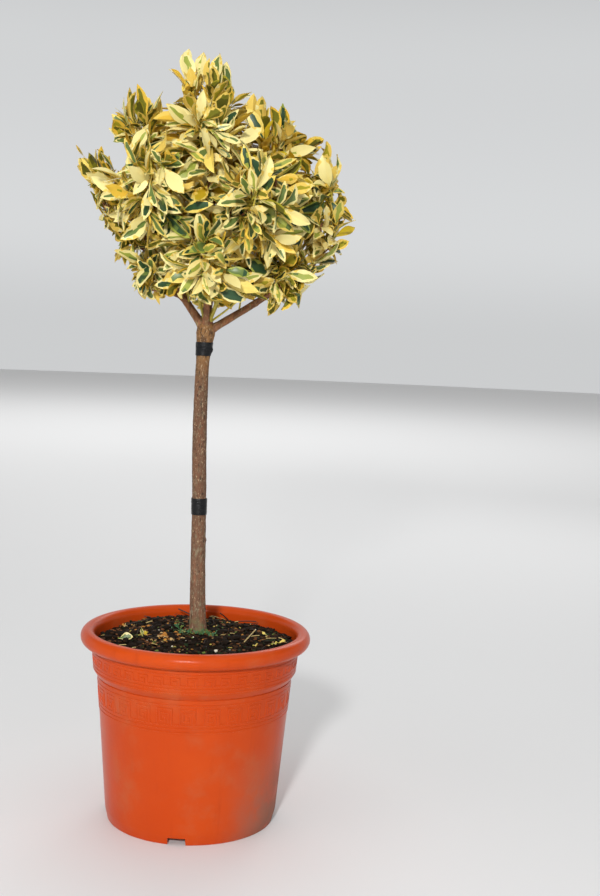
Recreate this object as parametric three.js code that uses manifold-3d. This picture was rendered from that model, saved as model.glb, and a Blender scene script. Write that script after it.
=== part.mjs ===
// A lollipop standard of variegated spindle in its orange plastic pot.
// Millimetres, +Z up. The origin is the middle of the pot's flat underside.
import * as THREE from "three";
import { mergeVertices } from "three/addons/utils/BufferGeometryUtils.js";
import Module from "manifold-3d";

const wasm = await Module();
wasm.setup();

// Clearances: between pieces that touch, and between foliage and any limb
const GAP = 0.3;
const LIMB_CLEARANCE = 0.8;
// Detail smaller than this is smoothed out of a mass
const LEAST_EDGE = 0.02;

// Pot: a thin tapered shell with a stepped collar, a rolled rim and a drained foot
const POT_SEGMENTS = 36;
const POT_WALL = 2.4;
const FOOT_RADIUS = 94.9;
const HEEL_RADIUS = 97.6;
const HEEL_HEIGHT = 12;
const STEP_RADIUS = 110.2;
const STEP_HEIGHT = 164.9;
const COLLAR_FOOT_RADIUS = 114.5;
const COLLAR_FOOT_HEIGHT = 171.5;
const COLLAR_TOP_RADIUS = 116.9;
const COLLAR_TOP_HEIGHT = 198;
const RIM_CREST_RADIUS = 121.1;
const RIM_ROLL = 8.8;
const RIM_HEIGHT = 217.2;
const RIM_INNER_ROLL = 7.2;
const PAD_RADIUS = 55;
const CHANNEL_HEIGHT = 8.6;
const CHANNEL_SLOPE = 2;
const SKIRT = 3;
const FLOOR_INSET = 1;
const CURL_SLIT_ANGLE = -100;
const CURL_END_ANGLE = 120;
const CURL_STEPS = 3;
const RIM_STEPS = 6;
const RIM_INNER_STEPS = 2;

// Drain notches in the foot, the first one a little left of the front
const NOTCH_COUNT = 4;
const NOTCH_TURN = -94;
const NOTCH_HEIGHT = 8;
const NOTCH_FOOT_WIDTH = 21;
const NOTCH_TOP_WIDTH = 19.5;
const NOTCH_DEPTH = 12;
const NOTCH_INWARD = 5;
const CUT_BEYOND = 1;

// Soil: it fills the pot and is heaped up to the trunk
const GROUND = 212.3;
const GROUND_PAD_RADIUS = 15;
const SOIL_EDGE_HEIGHT = 199;
const SOIL_HEAP_POWER = 1.5;
const SOIL_RING_SHARES = [0.84, 0.64, 0.44, 0.26];
const SOIL_LUMP = 1.6;
const SOIL_WAVES = [0.11, 0.13, 0.07];

// Trunk stations: height, sideways place of the middle, radius
const TRUNK_STATIONS = [
  [GROUND - 4, 1.8, 9.4],
  [245, 0.4, 8.95],
  [300, -0.9, 8.3],
  [362, -1.8, 8.0],
  [423, -3.6, 8.1],
  [480, -3.9, 7.6],
  [520, -3.1, 7.4],
  [540, -1.8, 8.9],
  [551, -0.9, 10.5],
  [566, -0.8, 8.6],
];
const TRUNK_SIDES = 10;
const TRUNK_STEPS = 14;
const ROOT_FLARE = 1.6;
const ROOT_FLARE_HEIGHT = 9;

// Tape bands round the trunk: middle height, band height
const TAPE_THICKNESS = 0.6;
const TAPES = [
  { name: "tape_lower", middle: 356.5, height: 18.6 },
  { name: "tape_upper", middle: 533.5, height: 15.2 },
];

// Boughs and branches: where each leaves its parent, a point on its way, its tip, its radii
const LIMB_SIDES = 5;
const LIMB_STEPS = 5;
const LIMBS = [
  {
    name: "bough_centre", parent: "trunk", share: 0.985, radii: [5.2, 2.8],
    via: [3, 4, 640], tip: [-4, 3, 722],
  },
  {
    name: "bough_left", parent: "trunk", share: 0.965, radii: [5, 2.4],
    via: [-30, 0, 594], tip: [-78, -5, 662],
  },
  {
    name: "bough_right", parent: "trunk", share: 0.96, radii: [4.6, 2.6],
    via: [56, 0, 588.5], tip: [116, 0, 632],
  },
  {
    name: "bough_back", parent: "trunk", share: 0.965, radii: [4.4, 2.6],
    via: [1, 20, 584], tip: [4, 48, 610],
  },
  {
    name: "bough_front", parent: "trunk", share: 0.965, radii: [4, 2.4],
    via: [1, -20, 584], tip: [4, -46, 612],
  },
  {
    name: "shoot_upright", parent: "trunk", share: 0.97, radii: [2.4, 1.7],
    via: [15, -16, 602], tip: [2, -48, 706],
  },
  {
    name: "branch_upper_left", parent: "bough_centre", share: 0.35, radii: [3, 1.9],
    via: [-24, 0, 668], tip: [-54, -4, 708],
  },
  {
    name: "branch_upper_right", parent: "bough_centre", share: 0.45, radii: [3, 1.9],
    via: [24, 0, 674], tip: [48, -4, 706],
  },
  {
    name: "branch_upper_back", parent: "bough_centre", share: 0.5, radii: [2.8, 1.8],
    via: [0, 28, 682], tip: [0, 50, 706],
  },
  {
    name: "branch_lower_left", parent: "bough_left", share: 0.3, radii: [2.6, 1.8],
    via: [-32, -12, 591], tip: [-42, -22, 593],
  },
  {
    name: "branch_lower_right", parent: "bough_right", share: 0.45, radii: [2.6, 1.8],
    via: [64, -12, 594], tip: [74, -22, 598],
  },
  {
    name: "branch_front_left", parent: "bough_front", share: 0.6, radii: [2.7, 1.8],
    via: [-18, -44, 632], tip: [-40, -60, 664],
  },
  {
    name: "branch_front_right", parent: "bough_front", share: 0.66, radii: [2.7, 1.8],
    via: [24, -44, 634], tip: [42, -60, 662],
  },
  {
    name: "branch_back_left", parent: "bough_back", share: 0.6, radii: [2.7, 1.8],
    via: [-18, 46, 630], tip: [-40, 62, 664],
  },
  {
    name: "branch_back_right", parent: "bough_back", share: 0.66, radii: [2.7, 1.8],
    via: [24, 46, 632], tip: [42, 60, 662],
  },
];

// Masses of foliage: the limb that carries each, its middle, its reach along X, Y and Z,
// and the outermost tips that show in its outline
const MASSES = [
  {
    name: "leaves_top", limb: "bough_centre", seed: 37,
    middle: [-5, 0, 784], reach: [48, 48, 80],
    tips: [[-24, 2, 862], [16, -6, 847], [-36, -8, 826], [28, -10, 816], [-4, -30, 812]],
  },
  {
    name: "leaves_upper_left", limb: "branch_upper_left", seed: 25,
    middle: [-80, -6, 758], reach: [44, 56, 60],
    tips: [[-99, -8, 812], [-76, -4, 817], [-112, -10, 786]],
  },
  {
    name: "leaves_upper_right", limb: "branch_upper_right", seed: 21,
    middle: [76, -6, 758], reach: [50, 56, 60],
    tips: [[92, -6, 803], [46, -8, 815], [108, -14, 790]],
  },
  {
    name: "leaves_upper_front", limb: "shoot_upright", seed: 32,
    middle: [-4, -76, 752], reach: [62, 54, 60],
    tips: [[-4, -112, 720], [14, -70, 790]],
  },
  {
    name: "leaves_upper_back", limb: "branch_upper_back", seed: 12,
    middle: [0, 76, 752], reach: [62, 54, 60],
    tips: [],
  },
  {
    name: "leaves_left", limb: "bough_left", seed: 15,
    middle: [-116, -6, 712], reach: [40, 54, 54],
    tips: [[-128, -26, 664], [-136, 20, 748]],
  },
  {
    name: "leaves_front_left", limb: "branch_front_left", seed: 38,
    middle: [-54, -92, 702], reach: [66, 54, 66],
    tips: [[-12, -118, 700], [-30, -110, 660]],
  },
  {
    name: "leaves_front_right", limb: "branch_front_right", seed: 2,
    middle: [56, -90, 692], reach: [68, 56, 66],
    tips: [[18, -122, 696], [30, -112, 734]],
  },
  {
    name: "leaves_right", limb: "bough_right", seed: 14,
    middle: [112, 0, 704], reach: [54, 58, 74],
    tips: [[163, -4, 682], [138, 0, 764], [124, -20, 776]],
  },
  {
    name: "leaves_back_right", limb: "branch_back_right", seed: 32,
    middle: [58, 90, 692], reach: [70, 56, 68],
    tips: [],
  },
  {
    name: "leaves_back_left", limb: "branch_back_left", seed: 30,
    middle: [-56, 92, 700], reach: [68, 54, 66],
    tips: [],
  },
  {
    name: "leaves_lower_left", limb: "branch_lower_left", seed: 33,
    middle: [-66, -16, 622], reach: [42, 60, 46],
    tips: [[-102, -16, 630], [-78, -20, 584], [-42, -30, 582]],
  },
  {
    name: "leaves_lower_right", limb: "branch_lower_right", seed: 4,
    middle: [86, -10, 626], reach: [50, 60, 50],
    tips: [[101, -10, 577]],
  },
  {
    name: "leaves_lower_front", limb: "bough_front", seed: 7,
    middle: [6, -80, 640], reach: [64, 60, 54],
    tips: [[-10, -60, 594]],
  },
  {
    name: "leaves_lower_back", limb: "bough_back", seed: 5,
    middle: [6, 80, 638], reach: [64, 60, 54],
    tips: [],
  },
];

// Growth: shoots reach for points spread evenly over each mass, and bear pairs of leaves
const SHELL_SHARE = 0.97;
const SHELL_POINTS = 9;
const GOLDEN_ANGLE = Math.PI * (3 - Math.sqrt(5));
const STEM_SIDES = 4;
const STEM_STEPS = 3;
const STEM_STRAIGHT = 14;
const STEM_END_RADIUS = 1.8;
const TWIG_SIDES = 3;
const TWIG_STEPS = 1;
const TWIG_RADII = [1.4, 1];
const TWIG_LENGTH = 40;
const TWIG_LEAST_LENGTH = 8;
const TWIG_SWEEP = 0.12;
const TWIG_LEAN = 0.4;
const TWIG_ROOT_SHARE = 0.2;
const JOINT_SHARES = [0.24, 0.35, 0.46, 0.57, 0.68, 0.79, 0.9, 0.98];
const LEAF_LIMIT = 1.12;
const LEAF_LENGTH = 48;
const LEAF_LENGTH_SPREAD = 9;
const LEAF_WIDTH_SHARE = 0.45;
const LEAF_WIDEST = 0.56;
const LEAF_THICKNESS = 1.3;
const LEAF_SINK = 0.3;
const LEAF_STALK_SHARE = 0.15;
const LEAF_ANGLE = 52;
const LEAF_ANGLE_SPREAD = 16;
// Tries to place a leaf: turn round the shoot, lean away from it, share of the length
const LEAF_TRIES = [
  [0, 0, 1],
  [24, -14, 0.95],
  [-24, 14, 0.9],
  [45, 22, 0.9],
  [-45, -26, 0.85],
  [12, 34, 0.8],
  [-12, -30, 0.8],
];
const PAIRS = 2;
const PAIR_SPACING = 13;
const FIRST_PAIR = 4;

// Colours and finishes
const plastic = new THREE.MeshStandardMaterial({ color: 0xd2561f, roughness: 0.45 });
const compost = new THREE.MeshStandardMaterial({ color: 0x1e1611, roughness: 1 });
const bark = new THREE.MeshStandardMaterial({ color: 0x7a5540, roughness: 0.9 });
const tape = new THREE.MeshStandardMaterial({ color: 0x0d0d0f, roughness: 0.3 });
const foliage = new THREE.MeshStandardMaterial({ color: 0xc9bd62, roughness: 0.5 });

// Helpers between three.js geometry and solids

const vector = (list) => new THREE.Vector3(...list);

// A geometry with positions only, and one vertex wherever corners meet
function bare(geometry) {
  geometry.deleteAttribute("normal");
  geometry.deleteAttribute("uv");
  return mergeVertices(geometry, 1e-4);
}

function solidOf(geometry) {
  const clean = bare(geometry);
  const corners = clean.index.array;
  const kept = [];
  for (let i = 0; i < corners.length; i += 3) {
    const [a, b, c] = [corners[i], corners[i + 1], corners[i + 2]];
    if (a !== b && b !== c && c !== a) {
      kept.push(a, b, c);
    }
  }
  const vertProperties = new Float32Array(clean.attributes.position.array);
  const triVerts = new Uint32Array(kept);
  return new wasm.Manifold(new wasm.Mesh({ numProp: 3, vertProperties, triVerts }));
}

// The largest body of a solid, with any sealed hollow filled
function oneBody(solid) {
  const bodies = solid.decompose();
  return bodies.reduce((best, body) => (body.volume() > best.volume() ? body : best));
}

function meshOf(name, solid, material) {
  const shape = solid.getMesh();
  const geometry = new THREE.BufferGeometry();
  geometry.setAttribute("position", new THREE.BufferAttribute(shape.vertProperties, 3));
  geometry.setIndex(new THREE.BufferAttribute(shape.triVerts, 1));
  geometry.computeVertexNormals();
  const mesh = new THREE.Mesh(geometry, material);
  mesh.name = name;
  return mesh;
}

// Seeded random numbers from 0 to 1
function seeded(seed) {
  let state = seed;
  return () => {
    state = (Math.imul(state, 1664525) + 1013904223) >>> 0;
    return state / 2 ** 32;
  };
}

// A closed tube along a curve. radiusAt takes the share of the length and the point there.
// grow makes the tube fatter and longer all round.
function tube(curve, radiusAt, sides, steps, grow = 0) {
  const geometry = bare(new THREE.CylinderGeometry(1, 1, 1, sides, steps));
  const frames = curve.computeFrenetFrames(steps, false);
  const corners = geometry.getAttribute("position");
  for (let i = 0; i < corners.count; i++) {
    const step = Math.round((corners.getY(i) + 0.5) * steps);
    const point = curve.getPointAt(step / steps);
    const radius = radiusAt(step / steps, point) + grow;
    const end = step === 0 ? -grow : step === steps ? grow : 0;
    point.addScaledVector(frames.normals[step], corners.getX(i) * radius);
    point.addScaledVector(frames.binormals[step], -corners.getZ(i) * radius);
    point.addScaledVector(frames.tangents[step], end);
    corners.setXYZ(i, point.x, point.y, point.z);
  }
  return solidOf(geometry);
}

const taper = ([root, end]) => (share) => root + (end - root) * share;

// Pot

// Points of an arc round (x, y), angles in degrees
function arc(x, y, radiusX, radiusY, from, to, steps) {
  const points = [];
  for (let i = 0; i <= steps; i++) {
    const angle = THREE.MathUtils.degToRad(from + ((to - from) * i) / steps);
    points.push([x + radiusX * Math.cos(angle), y + radiusY * Math.sin(angle)]);
  }
  return points;
}

// A solid of revolution about Z from a profile of radius and height
function turned(profile) {
  const points = profile.map(([radius, height]) => new THREE.Vector2(radius, height));
  return new THREE.LatheGeometry(points, POT_SEGMENTS).rotateX(Math.PI / 2);
}

// The inside of the pot from its middle to the top of its wall, moved inwards by a clearance
function potInside(clearance) {
  const floor = CHANNEL_HEIGHT + POT_WALL + clearance;
  const pit = POT_WALL + clearance;
  const inward = POT_WALL + clearance;
  return [
    [0, pit],
    [PAD_RADIUS - CHANNEL_SLOPE - clearance, pit],
    [PAD_RADIUS - clearance, floor],
    [HEEL_RADIUS - FLOOR_INSET - inward, floor],
    [STEP_RADIUS - inward, STEP_HEIGHT],
    [COLLAR_FOOT_RADIUS - inward, COLLAR_FOOT_HEIGHT],
    [COLLAR_TOP_RADIUS - inward, COLLAR_TOP_HEIGHT],
  ];
}

function makePot() {
  const rollMiddle = RIM_HEIGHT - RIM_ROLL;
  const rollInside = RIM_ROLL - POT_WALL;
  const shell = turned([
    [0, 0],
    [PAD_RADIUS, 0],
    [PAD_RADIUS + CHANNEL_SLOPE, CHANNEL_HEIGHT],
    [FOOT_RADIUS - SKIRT, CHANNEL_HEIGHT],
    [FOOT_RADIUS - SKIRT, 0],
    [FOOT_RADIUS, 0],
    [HEEL_RADIUS, HEEL_HEIGHT],
    [STEP_RADIUS, STEP_HEIGHT],
    [COLLAR_FOOT_RADIUS, COLLAR_FOOT_HEIGHT],
    [COLLAR_TOP_RADIUS, COLLAR_TOP_HEIGHT],
    [COLLAR_TOP_RADIUS, rollMiddle],
    ...arc(RIM_CREST_RADIUS, rollMiddle, rollInside, rollInside, CURL_END_ANGLE, -90, CURL_STEPS),
    ...arc(RIM_CREST_RADIUS, rollMiddle, RIM_ROLL, RIM_ROLL, CURL_SLIT_ANGLE, 90, RIM_STEPS),
    ...arc(RIM_CREST_RADIUS, rollMiddle, RIM_INNER_ROLL, RIM_ROLL, 120, 180, RIM_INNER_STEPS),
    ...potInside(0).reverse(),
  ]);
  return solidOf(shell).subtract(notches());
}

// Trapezoid prisms that cut the drain notches out of the foot
function notches() {
  const outline = new THREE.Shape([
    new THREE.Vector2(-NOTCH_FOOT_WIDTH / 2, -CUT_BEYOND),
    new THREE.Vector2(NOTCH_FOOT_WIDTH / 2, -CUT_BEYOND),
    new THREE.Vector2(NOTCH_TOP_WIDTH / 2, NOTCH_HEIGHT),
    new THREE.Vector2(-NOTCH_TOP_WIDTH / 2, NOTCH_HEIGHT),
  ]);
  const cutters = [];
  for (let i = 0; i < NOTCH_COUNT; i++) {
    const turn = THREE.MathUtils.degToRad(NOTCH_TURN + (360 / NOTCH_COUNT) * i);
    const prism = new THREE.ExtrudeGeometry(outline, { depth: NOTCH_DEPTH, bevelEnabled: false });
    prism.rotateX(Math.PI / 2);
    prism.translate(0, FOOT_RADIUS + NOTCH_DEPTH - NOTCH_INWARD, 0);
    prism.rotateZ(turn - Math.PI / 2);
    cutters.push(solidOf(prism));
  }
  return wasm.Manifold.union(cutters);
}

// Soil

function soilHeight(radius) {
  const share = (radius - GROUND_PAD_RADIUS) / (COLLAR_TOP_RADIUS - GROUND_PAD_RADIUS);
  return GROUND - (GROUND - SOIL_EDGE_HEIGHT) * Math.max(share, 0) ** SOIL_HEAP_POWER;
}

function makeSoil() {
  const side = potInside(GAP);
  const edgeRadius = side.at(-1)[0];
  const top = SOIL_RING_SHARES.map((share) => share * edgeRadius);
  const geometry = turned([
    ...side,
    [edgeRadius, soilHeight(edgeRadius)],
    ...top.map((radius) => [radius, soilHeight(radius)]),
    [GROUND_PAD_RADIUS, GROUND],
    [0, GROUND],
  ]);
  const corners = geometry.getAttribute("position");
  const [waveX, waveY, waveAcross] = SOIL_WAVES;
  for (let i = 0; i < corners.count; i++) {
    const [x, y, z] = [corners.getX(i), corners.getY(i), corners.getZ(i)];
    const radius = Math.hypot(x, y);
    const onRing = top.some((ring) => Math.abs(ring - radius) < GAP);
    if (onRing && z > SOIL_EDGE_HEIGHT) {
      const lump = Math.sin(waveX * x) * Math.cos(waveY * y) + Math.sin(waveAcross * (y - x)) / 2;
      corners.setZ(i, z + SOIL_LUMP * lump);
    }
  }
  return solidOf(geometry);
}

// Trunk and limbs

// Value of a station's column at a height, in a straight line between stations
function stationValue(height, column) {
  const next = TRUNK_STATIONS.findIndex(([stationHeight]) => stationHeight >= height);
  if (next <= 0) {
    return next === 0 ? TRUNK_STATIONS[0][column] : TRUNK_STATIONS.at(-1)[column];
  }
  const [below, above] = [TRUNK_STATIONS[next - 1], TRUNK_STATIONS[next]];
  const share = (height - below[0]) / (above[0] - below[0]);
  return below[column] + (above[column] - below[column]) * share;
}

function trunkRadius(height) {
  const flare = ROOT_FLARE * Math.exp(-(height - GROUND) / ROOT_FLARE_HEIGHT);
  return stationValue(height, 2) + flare;
}

const trunkPoint = (height) => new THREE.Vector3(stationValue(height, 1), 0, height);

function trunkTube(grow) {
  const radiusAt = (share, point) => trunkRadius(point.z);
  return tube(trunkCurve, radiusAt, TRUNK_SIDES, TRUNK_STEPS, grow);
}

// The trunk from its level cut at the ground to its fork
const makeTrunk = () => trunkTube(0).trimByPlane([0, 0, 1], GROUND + GAP);

// A tape band is the part of a thin sleeve round the trunk between two heights
function makeTape({ middle, height }) {
  const sleeve = trunkTube(GAP + TAPE_THICKNESS).subtract(trunkTube(GAP));
  const [low, high] = [middle - height / 2, middle + height / 2];
  return sleeve.trimByPlane([0, 0, 1], low).trimByPlane([0, 0, -1], -high);
}

const trunkCurve = new THREE.CatmullRomCurve3(
  TRUNK_STATIONS.map(([height]) => trunkPoint(height)),
);

// Each limb's curve starts on its parent's axis, and the parts that are there already cut it clear
const limbs = new Map();

function makeLimbs() {
  const curves = new Map([["trunk", trunkCurve]]);
  const cutters = [trunkTube(GAP)];
  for (const { name, parent, share, via, tip, radii } of LIMBS) {
    const root = curves.get(parent).getPointAt(share);
    const curve = new THREE.CatmullRomCurve3([root, vector(via), vector(tip)]);
    const wood = tube(curve, taper(radii), LIMB_SIDES, LIMB_STEPS);
    const clear = wood.subtract(wasm.Manifold.union(cutters));
    curves.set(name, curve);
    limbs.set(name, { curve, endRadius: radii[1], solid: oneBody(clear) });
    cutters.push(tube(curve, taper(radii), LIMB_SIDES, LIMB_STEPS, GAP));
  }
}

// All wood made fatter, which foliage has to stay out of
function limbZone() {
  const zones = LIMBS.map(({ name, radii }) =>
    tube(limbs.get(name).curve, taper(radii), LIMB_SIDES, LIMB_STEPS, LIMB_CLEARANCE),
  );
  return wasm.Manifold.union([trunkTube(LIMB_CLEARANCE), ...zones]);
}

// Foliage

// Size of a mass as one number, which settles where its space ends and a neighbour's begins
const meanReach = ({ reach }) => (reach[0] + reach[1] + reach[2]) / 3;

// How far a point lies inside the flat border between a mass and a neighbour
function borderDistance(mass, neighbour, point) {
  const [own, other] = [vector(mass.middle), vector(neighbour.middle)];
  const ownPower = point.distanceToSquared(own) - meanReach(mass) ** 2;
  const otherPower = point.distanceToSquared(other) - meanReach(neighbour) ** 2;
  return (otherPower - ownPower) / (2 * own.distanceTo(other));
}

function insideSpace(mass, point) {
  const away = point.clone().sub(vector(mass.middle)).divide(vector(mass.reach));
  if (away.length() > LEAF_LIMIT) {
    return false;
  }
  return MASSES.every((other) => other === mass || borderDistance(mass, other, point) > GAP);
}

// Corners of a leaf: its root, its tip, its two sides and the ridge of its upper face
function leafCorners(root, along, up, length) {
  const across = up.clone().cross(along).normalize();
  const width = length * LEAF_WIDTH_SHARE;
  const middle = root.clone().addScaledVector(along, LEAF_WIDEST * length);
  return {
    root,
    tip: root.clone().addScaledVector(along, length),
    left: middle.clone().addScaledVector(across, width / 2),
    right: middle.clone().addScaledVector(across, -width / 2),
    ridge: middle.clone().addScaledVector(up, LEAF_THICKNESS),
  };
}

// A leaf's solid is a double pyramid on the triangle of its sides and its ridge
function leafSolid({ root, tip, left, right, ridge }) {
  const ring = [right, left, ridge];
  const geometry = bare(new THREE.CylinderGeometry(1, 1, 1, 3, 2));
  const place = geometry.getAttribute("position");
  for (let i = 0; i < place.count; i++) {
    const turn = Math.atan2(place.getX(i), place.getZ(i)) / (2 * Math.PI);
    const side = ring[Math.round(turn * ring.length + ring.length) % ring.length];
    const corner = [root, side, tip][Math.sign(place.getY(i)) + 1];
    place.setXYZ(i, corner.x, corner.y, corner.z);
  }
  return solidOf(geometry);
}

// Directions spread evenly over a sphere
function evenDirections(count, turn) {
  const directions = [];
  for (let i = 0; i < count; i++) {
    const z = 1 - (2 * i + 1) / count;
    const flat = Math.sqrt(1 - z * z);
    const angle = turn + i * GOLDEN_ANGLE;
    directions.push(new THREE.Vector3(flat * Math.cos(angle), flat * Math.sin(angle), z));
  }
  return directions;
}

// Points that a mass's shoots reach for, its own tips first
function reachPoints(mass, turn) {
  const [middle, reach] = [vector(mass.middle), vector(mass.reach)];
  const shell = evenDirections(SHELL_POINTS, turn).map((way) =>
    way.multiply(reach).multiplyScalar(SHELL_SHARE).add(middle),
  );
  return [...mass.tips.map(vector), ...shell];
}

function growMass(mass, zone) {
  const random = seeded(mass.seed);
  const limb = limbs.get(mass.limb);
  const heart = vector(mass.middle);
  const limbWay = limb.curve.getTangentAt(1);
  const start = limb.curve.getPointAt(1).addScaledVector(limbWay, GAP);
  const elbow = start.clone().addScaledVector(limbWay, STEM_STRAIGHT);
  const stem = new THREE.QuadraticBezierCurve3(start, elbow, heart);
  const stemRadii = [limb.endRadius, STEM_END_RADIUS];
  const pieces = [tube(stem, taper(stemRadii), STEM_SIDES, STEM_STEPS)];
  const joints = [];
  let leafCount = 0;

  const addJoints = (curve) => {
    for (const share of JOINT_SHARES) {
      joints.push({ point: curve.getPointAt(share), way: curve.getTangentAt(share) });
    }
  };
  const crosses = (solid) => pieces.some((piece) => !piece.intersect(solid).isEmpty());
  const fits = (corners, solid) =>
    corners.every((corner) => insideSpace(mass, corner)) && zone.intersect(solid).isEmpty();

  // A leaf at a point of a shoot, turned out from its way; false where something is in its place
  const addLeaf = (point, way, out, degrees, length) => {
    const angle = THREE.MathUtils.degToRad(degrees);
    const along = way.clone().multiplyScalar(Math.cos(angle)).addScaledVector(out, Math.sin(angle));
    const up = way.clone().multiplyScalar(Math.sin(angle)).addScaledVector(out, -Math.cos(angle));
    const root = point.clone().addScaledVector(along, -LEAF_SINK);
    const corners = leafCorners(root, along, up, length);
    const solid = leafSolid(corners);
    const stalk = root.clone().addScaledVector(along, length * LEAF_STALK_SHARE);
    const free = !crosses(leafSolid({ ...corners, root: stalk }));
    if (free && fits(Object.values(corners), solid)) {
      pieces.push(solid);
      leafCount += 1;
      return true;
    }
    return false;
  };

  // Two leaves on opposite sides, each turned a little at each try until it is free
  const addPair = (point, way, side, pair) => {
    for (const half of [0, Math.PI]) {
      const length = LEAF_LENGTH + LEAF_LENGTH_SPREAD * (random() - 0.5);
      const lean = LEAF_ANGLE_SPREAD * (random() - 0.5);
      LEAF_TRIES.some(([spin, tilt, share]) => {
        const turn = (pair * Math.PI) / 2 + half + THREE.MathUtils.degToRad(spin);
        const out = side.clone().applyAxisAngle(way, turn);
        return addLeaf(point, way, out, LEAF_ANGLE + lean + tilt, length * share);
      });
    }
  };

  addJoints(stem);

  // A shoot from a joint, whose end leaf will touch the target with its tip
  const shootFrom = (joint, target) => {
    const straight = target.clone().sub(joint.point).normalize();
    const end = target.clone().addScaledVector(straight, LEAF_SINK - LEAF_LENGTH);
    const length = joint.point.distanceTo(end);
    const sweep = joint.point.clone().addScaledVector(joint.way, length * TWIG_SWEEP);
    sweep.addScaledVector(straight, length * TWIG_LEAN);
    const curve = new THREE.QuadraticBezierCurve3(joint.point, sweep, end);
    const solid = tube(curve, taper(TWIG_RADII), TWIG_SIDES, TWIG_STEPS);
    const outer = new THREE.LineCurve3(curve.getPointAt(TWIG_ROOT_SHARE), end);
    const probe = tube(outer, taper(TWIG_RADII), TWIG_SIDES, 1);
    const good = length > TWIG_LEAST_LENGTH && !crosses(probe) && fits([sweep, end], solid);
    const side = new THREE.Vector3(random() - 0.5, random() - 0.5, random() - 0.5);
    side.cross(straight).normalize();
    return { good, joint, curve, solid, length, straight, side };
  };

  // Wood first: the stem is the first shoot, and each other one leaves a joint from which it has
  // about the wanted length
  const stemWay = stem.getTangentAt(1);
  const stemSide = new THREE.Vector3(0, 1, 0).cross(stemWay).normalize();
  const shoots = [{ curve: stem, length: stem.getLength(), straight: stemWay, side: stemSide }];
  const wanted = LEAF_LENGTH + TWIG_LENGTH;
  const targets = reachPoints(mass, random() * 2 * Math.PI);
  for (const target of targets.filter((point) => insideSpace(mass, point))) {
    const misfit = (joint) => Math.abs(joint.point.distanceTo(target) - wanted);
    const choices = [...joints].sort((a, b) => misfit(a) - misfit(b));
    const shoot = choices.map((joint) => shootFrom(joint, target)).find(({ good }) => good);
    if (shoot) {
      shoots.push(shoot);
      pieces.push(shoot.solid);
      joints.splice(joints.indexOf(shoot.joint), 1);
      addJoints(shoot.curve);
    }
  }

  for (const { curve, straight, side } of shoots) {
    addLeaf(curve.getPointAt(1), straight, side, 0, LEAF_LENGTH);
  }
  for (let pair = 0; pair < PAIRS; pair++) {
    for (const { curve, length, side } of shoots) {
      const share = 1 - (FIRST_PAIR + pair * PAIR_SPACING) / length;
      if (share > TWIG_ROOT_SHARE) {
        addPair(curve.getPointAt(share), curve.getTangentAt(share), side, pair);
      }
    }
  }
  const solid = oneBody(wasm.Manifold.union(pieces)).simplify(LEAST_EDGE);
  return { solid, leafCount };
}

// The whole plant in its pot

const plant = new THREE.Group();
plant.add(meshOf("pot", makePot(), plastic));
plant.add(meshOf("soil", makeSoil(), compost));
plant.add(meshOf("trunk", makeTrunk(), bark));
for (const band of TAPES) {
  plant.add(meshOf(band.name, makeTape(band), tape));
}
makeLimbs();
for (const [name, limb] of limbs) {
  plant.add(meshOf(name, limb.solid, bark));
}
const zone = limbZone();
MASSES.forEach((mass) => {
  const { solid, leafCount } = growMass(mass, zone);
  const mesh = meshOf(mass.name, solid, foliage);
  mesh.userData.leafCount = leafCount;
  plant.add(mesh);
});

export default plant;
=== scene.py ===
# %% [markdown]
# # A lollipop standard in its pot
# The object is a young variegated evergreen, trained to one clear stem with a loose round crown, and it
# grows in an orange plastic pot. Its solids are plain and few. This lesson dresses them: a smooth pot with
# a raised key border, loose compost, cracked bark, and a crown of twigs that each bear pairs of leaves.
# The packed part comes first, because it is the frame that each piece is built round. Everything is in
# metres.

# %% The packed part
import math
import random

import bmesh
import bpy
import numpy as np
from mathutils import Matrix, Vector, geometry, noise
from mathutils.bvhtree import BVHTree


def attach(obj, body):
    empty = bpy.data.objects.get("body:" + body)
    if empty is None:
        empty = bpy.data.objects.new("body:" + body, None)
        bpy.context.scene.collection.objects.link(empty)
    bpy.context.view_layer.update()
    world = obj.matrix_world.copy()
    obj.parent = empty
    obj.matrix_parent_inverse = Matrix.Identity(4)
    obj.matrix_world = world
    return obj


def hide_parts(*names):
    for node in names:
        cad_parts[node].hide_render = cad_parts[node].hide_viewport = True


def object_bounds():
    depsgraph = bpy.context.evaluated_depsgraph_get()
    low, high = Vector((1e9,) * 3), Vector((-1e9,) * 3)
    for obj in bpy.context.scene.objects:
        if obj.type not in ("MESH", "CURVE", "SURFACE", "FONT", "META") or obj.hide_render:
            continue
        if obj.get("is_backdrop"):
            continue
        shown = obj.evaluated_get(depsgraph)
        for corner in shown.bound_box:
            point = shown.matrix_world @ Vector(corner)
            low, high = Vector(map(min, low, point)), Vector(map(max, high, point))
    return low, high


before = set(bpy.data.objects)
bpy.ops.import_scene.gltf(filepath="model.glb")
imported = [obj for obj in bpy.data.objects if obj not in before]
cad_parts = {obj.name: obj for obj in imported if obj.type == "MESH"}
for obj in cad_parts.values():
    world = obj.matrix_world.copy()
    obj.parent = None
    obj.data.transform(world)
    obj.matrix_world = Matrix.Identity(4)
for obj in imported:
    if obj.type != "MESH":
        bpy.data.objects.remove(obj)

cad_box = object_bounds()
print("nodes of the part:", len(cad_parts))

# %% [markdown]
# ## Camera, floor and light
# The photograph was taken from about the height of the fork, a little to the right of the stem, with the
# camera turned slightly anticlockwise. A camera could be placed by eye, but here its place was fitted to
# the rulers beside the plant, so pot, stem and crown fall where they do in the picture.

# %% Camera
MM = 0.001
IMAGE_HEIGHT = 896
FOCAL_PIXELS = 1259.6
SENSOR_MM = 36
CAMERA_PLACE = (0.1094, -1.4094, 0.5539)
CAMERA_PITCH = 0.0898
CAMERA_ROLL = 0.0409

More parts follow.
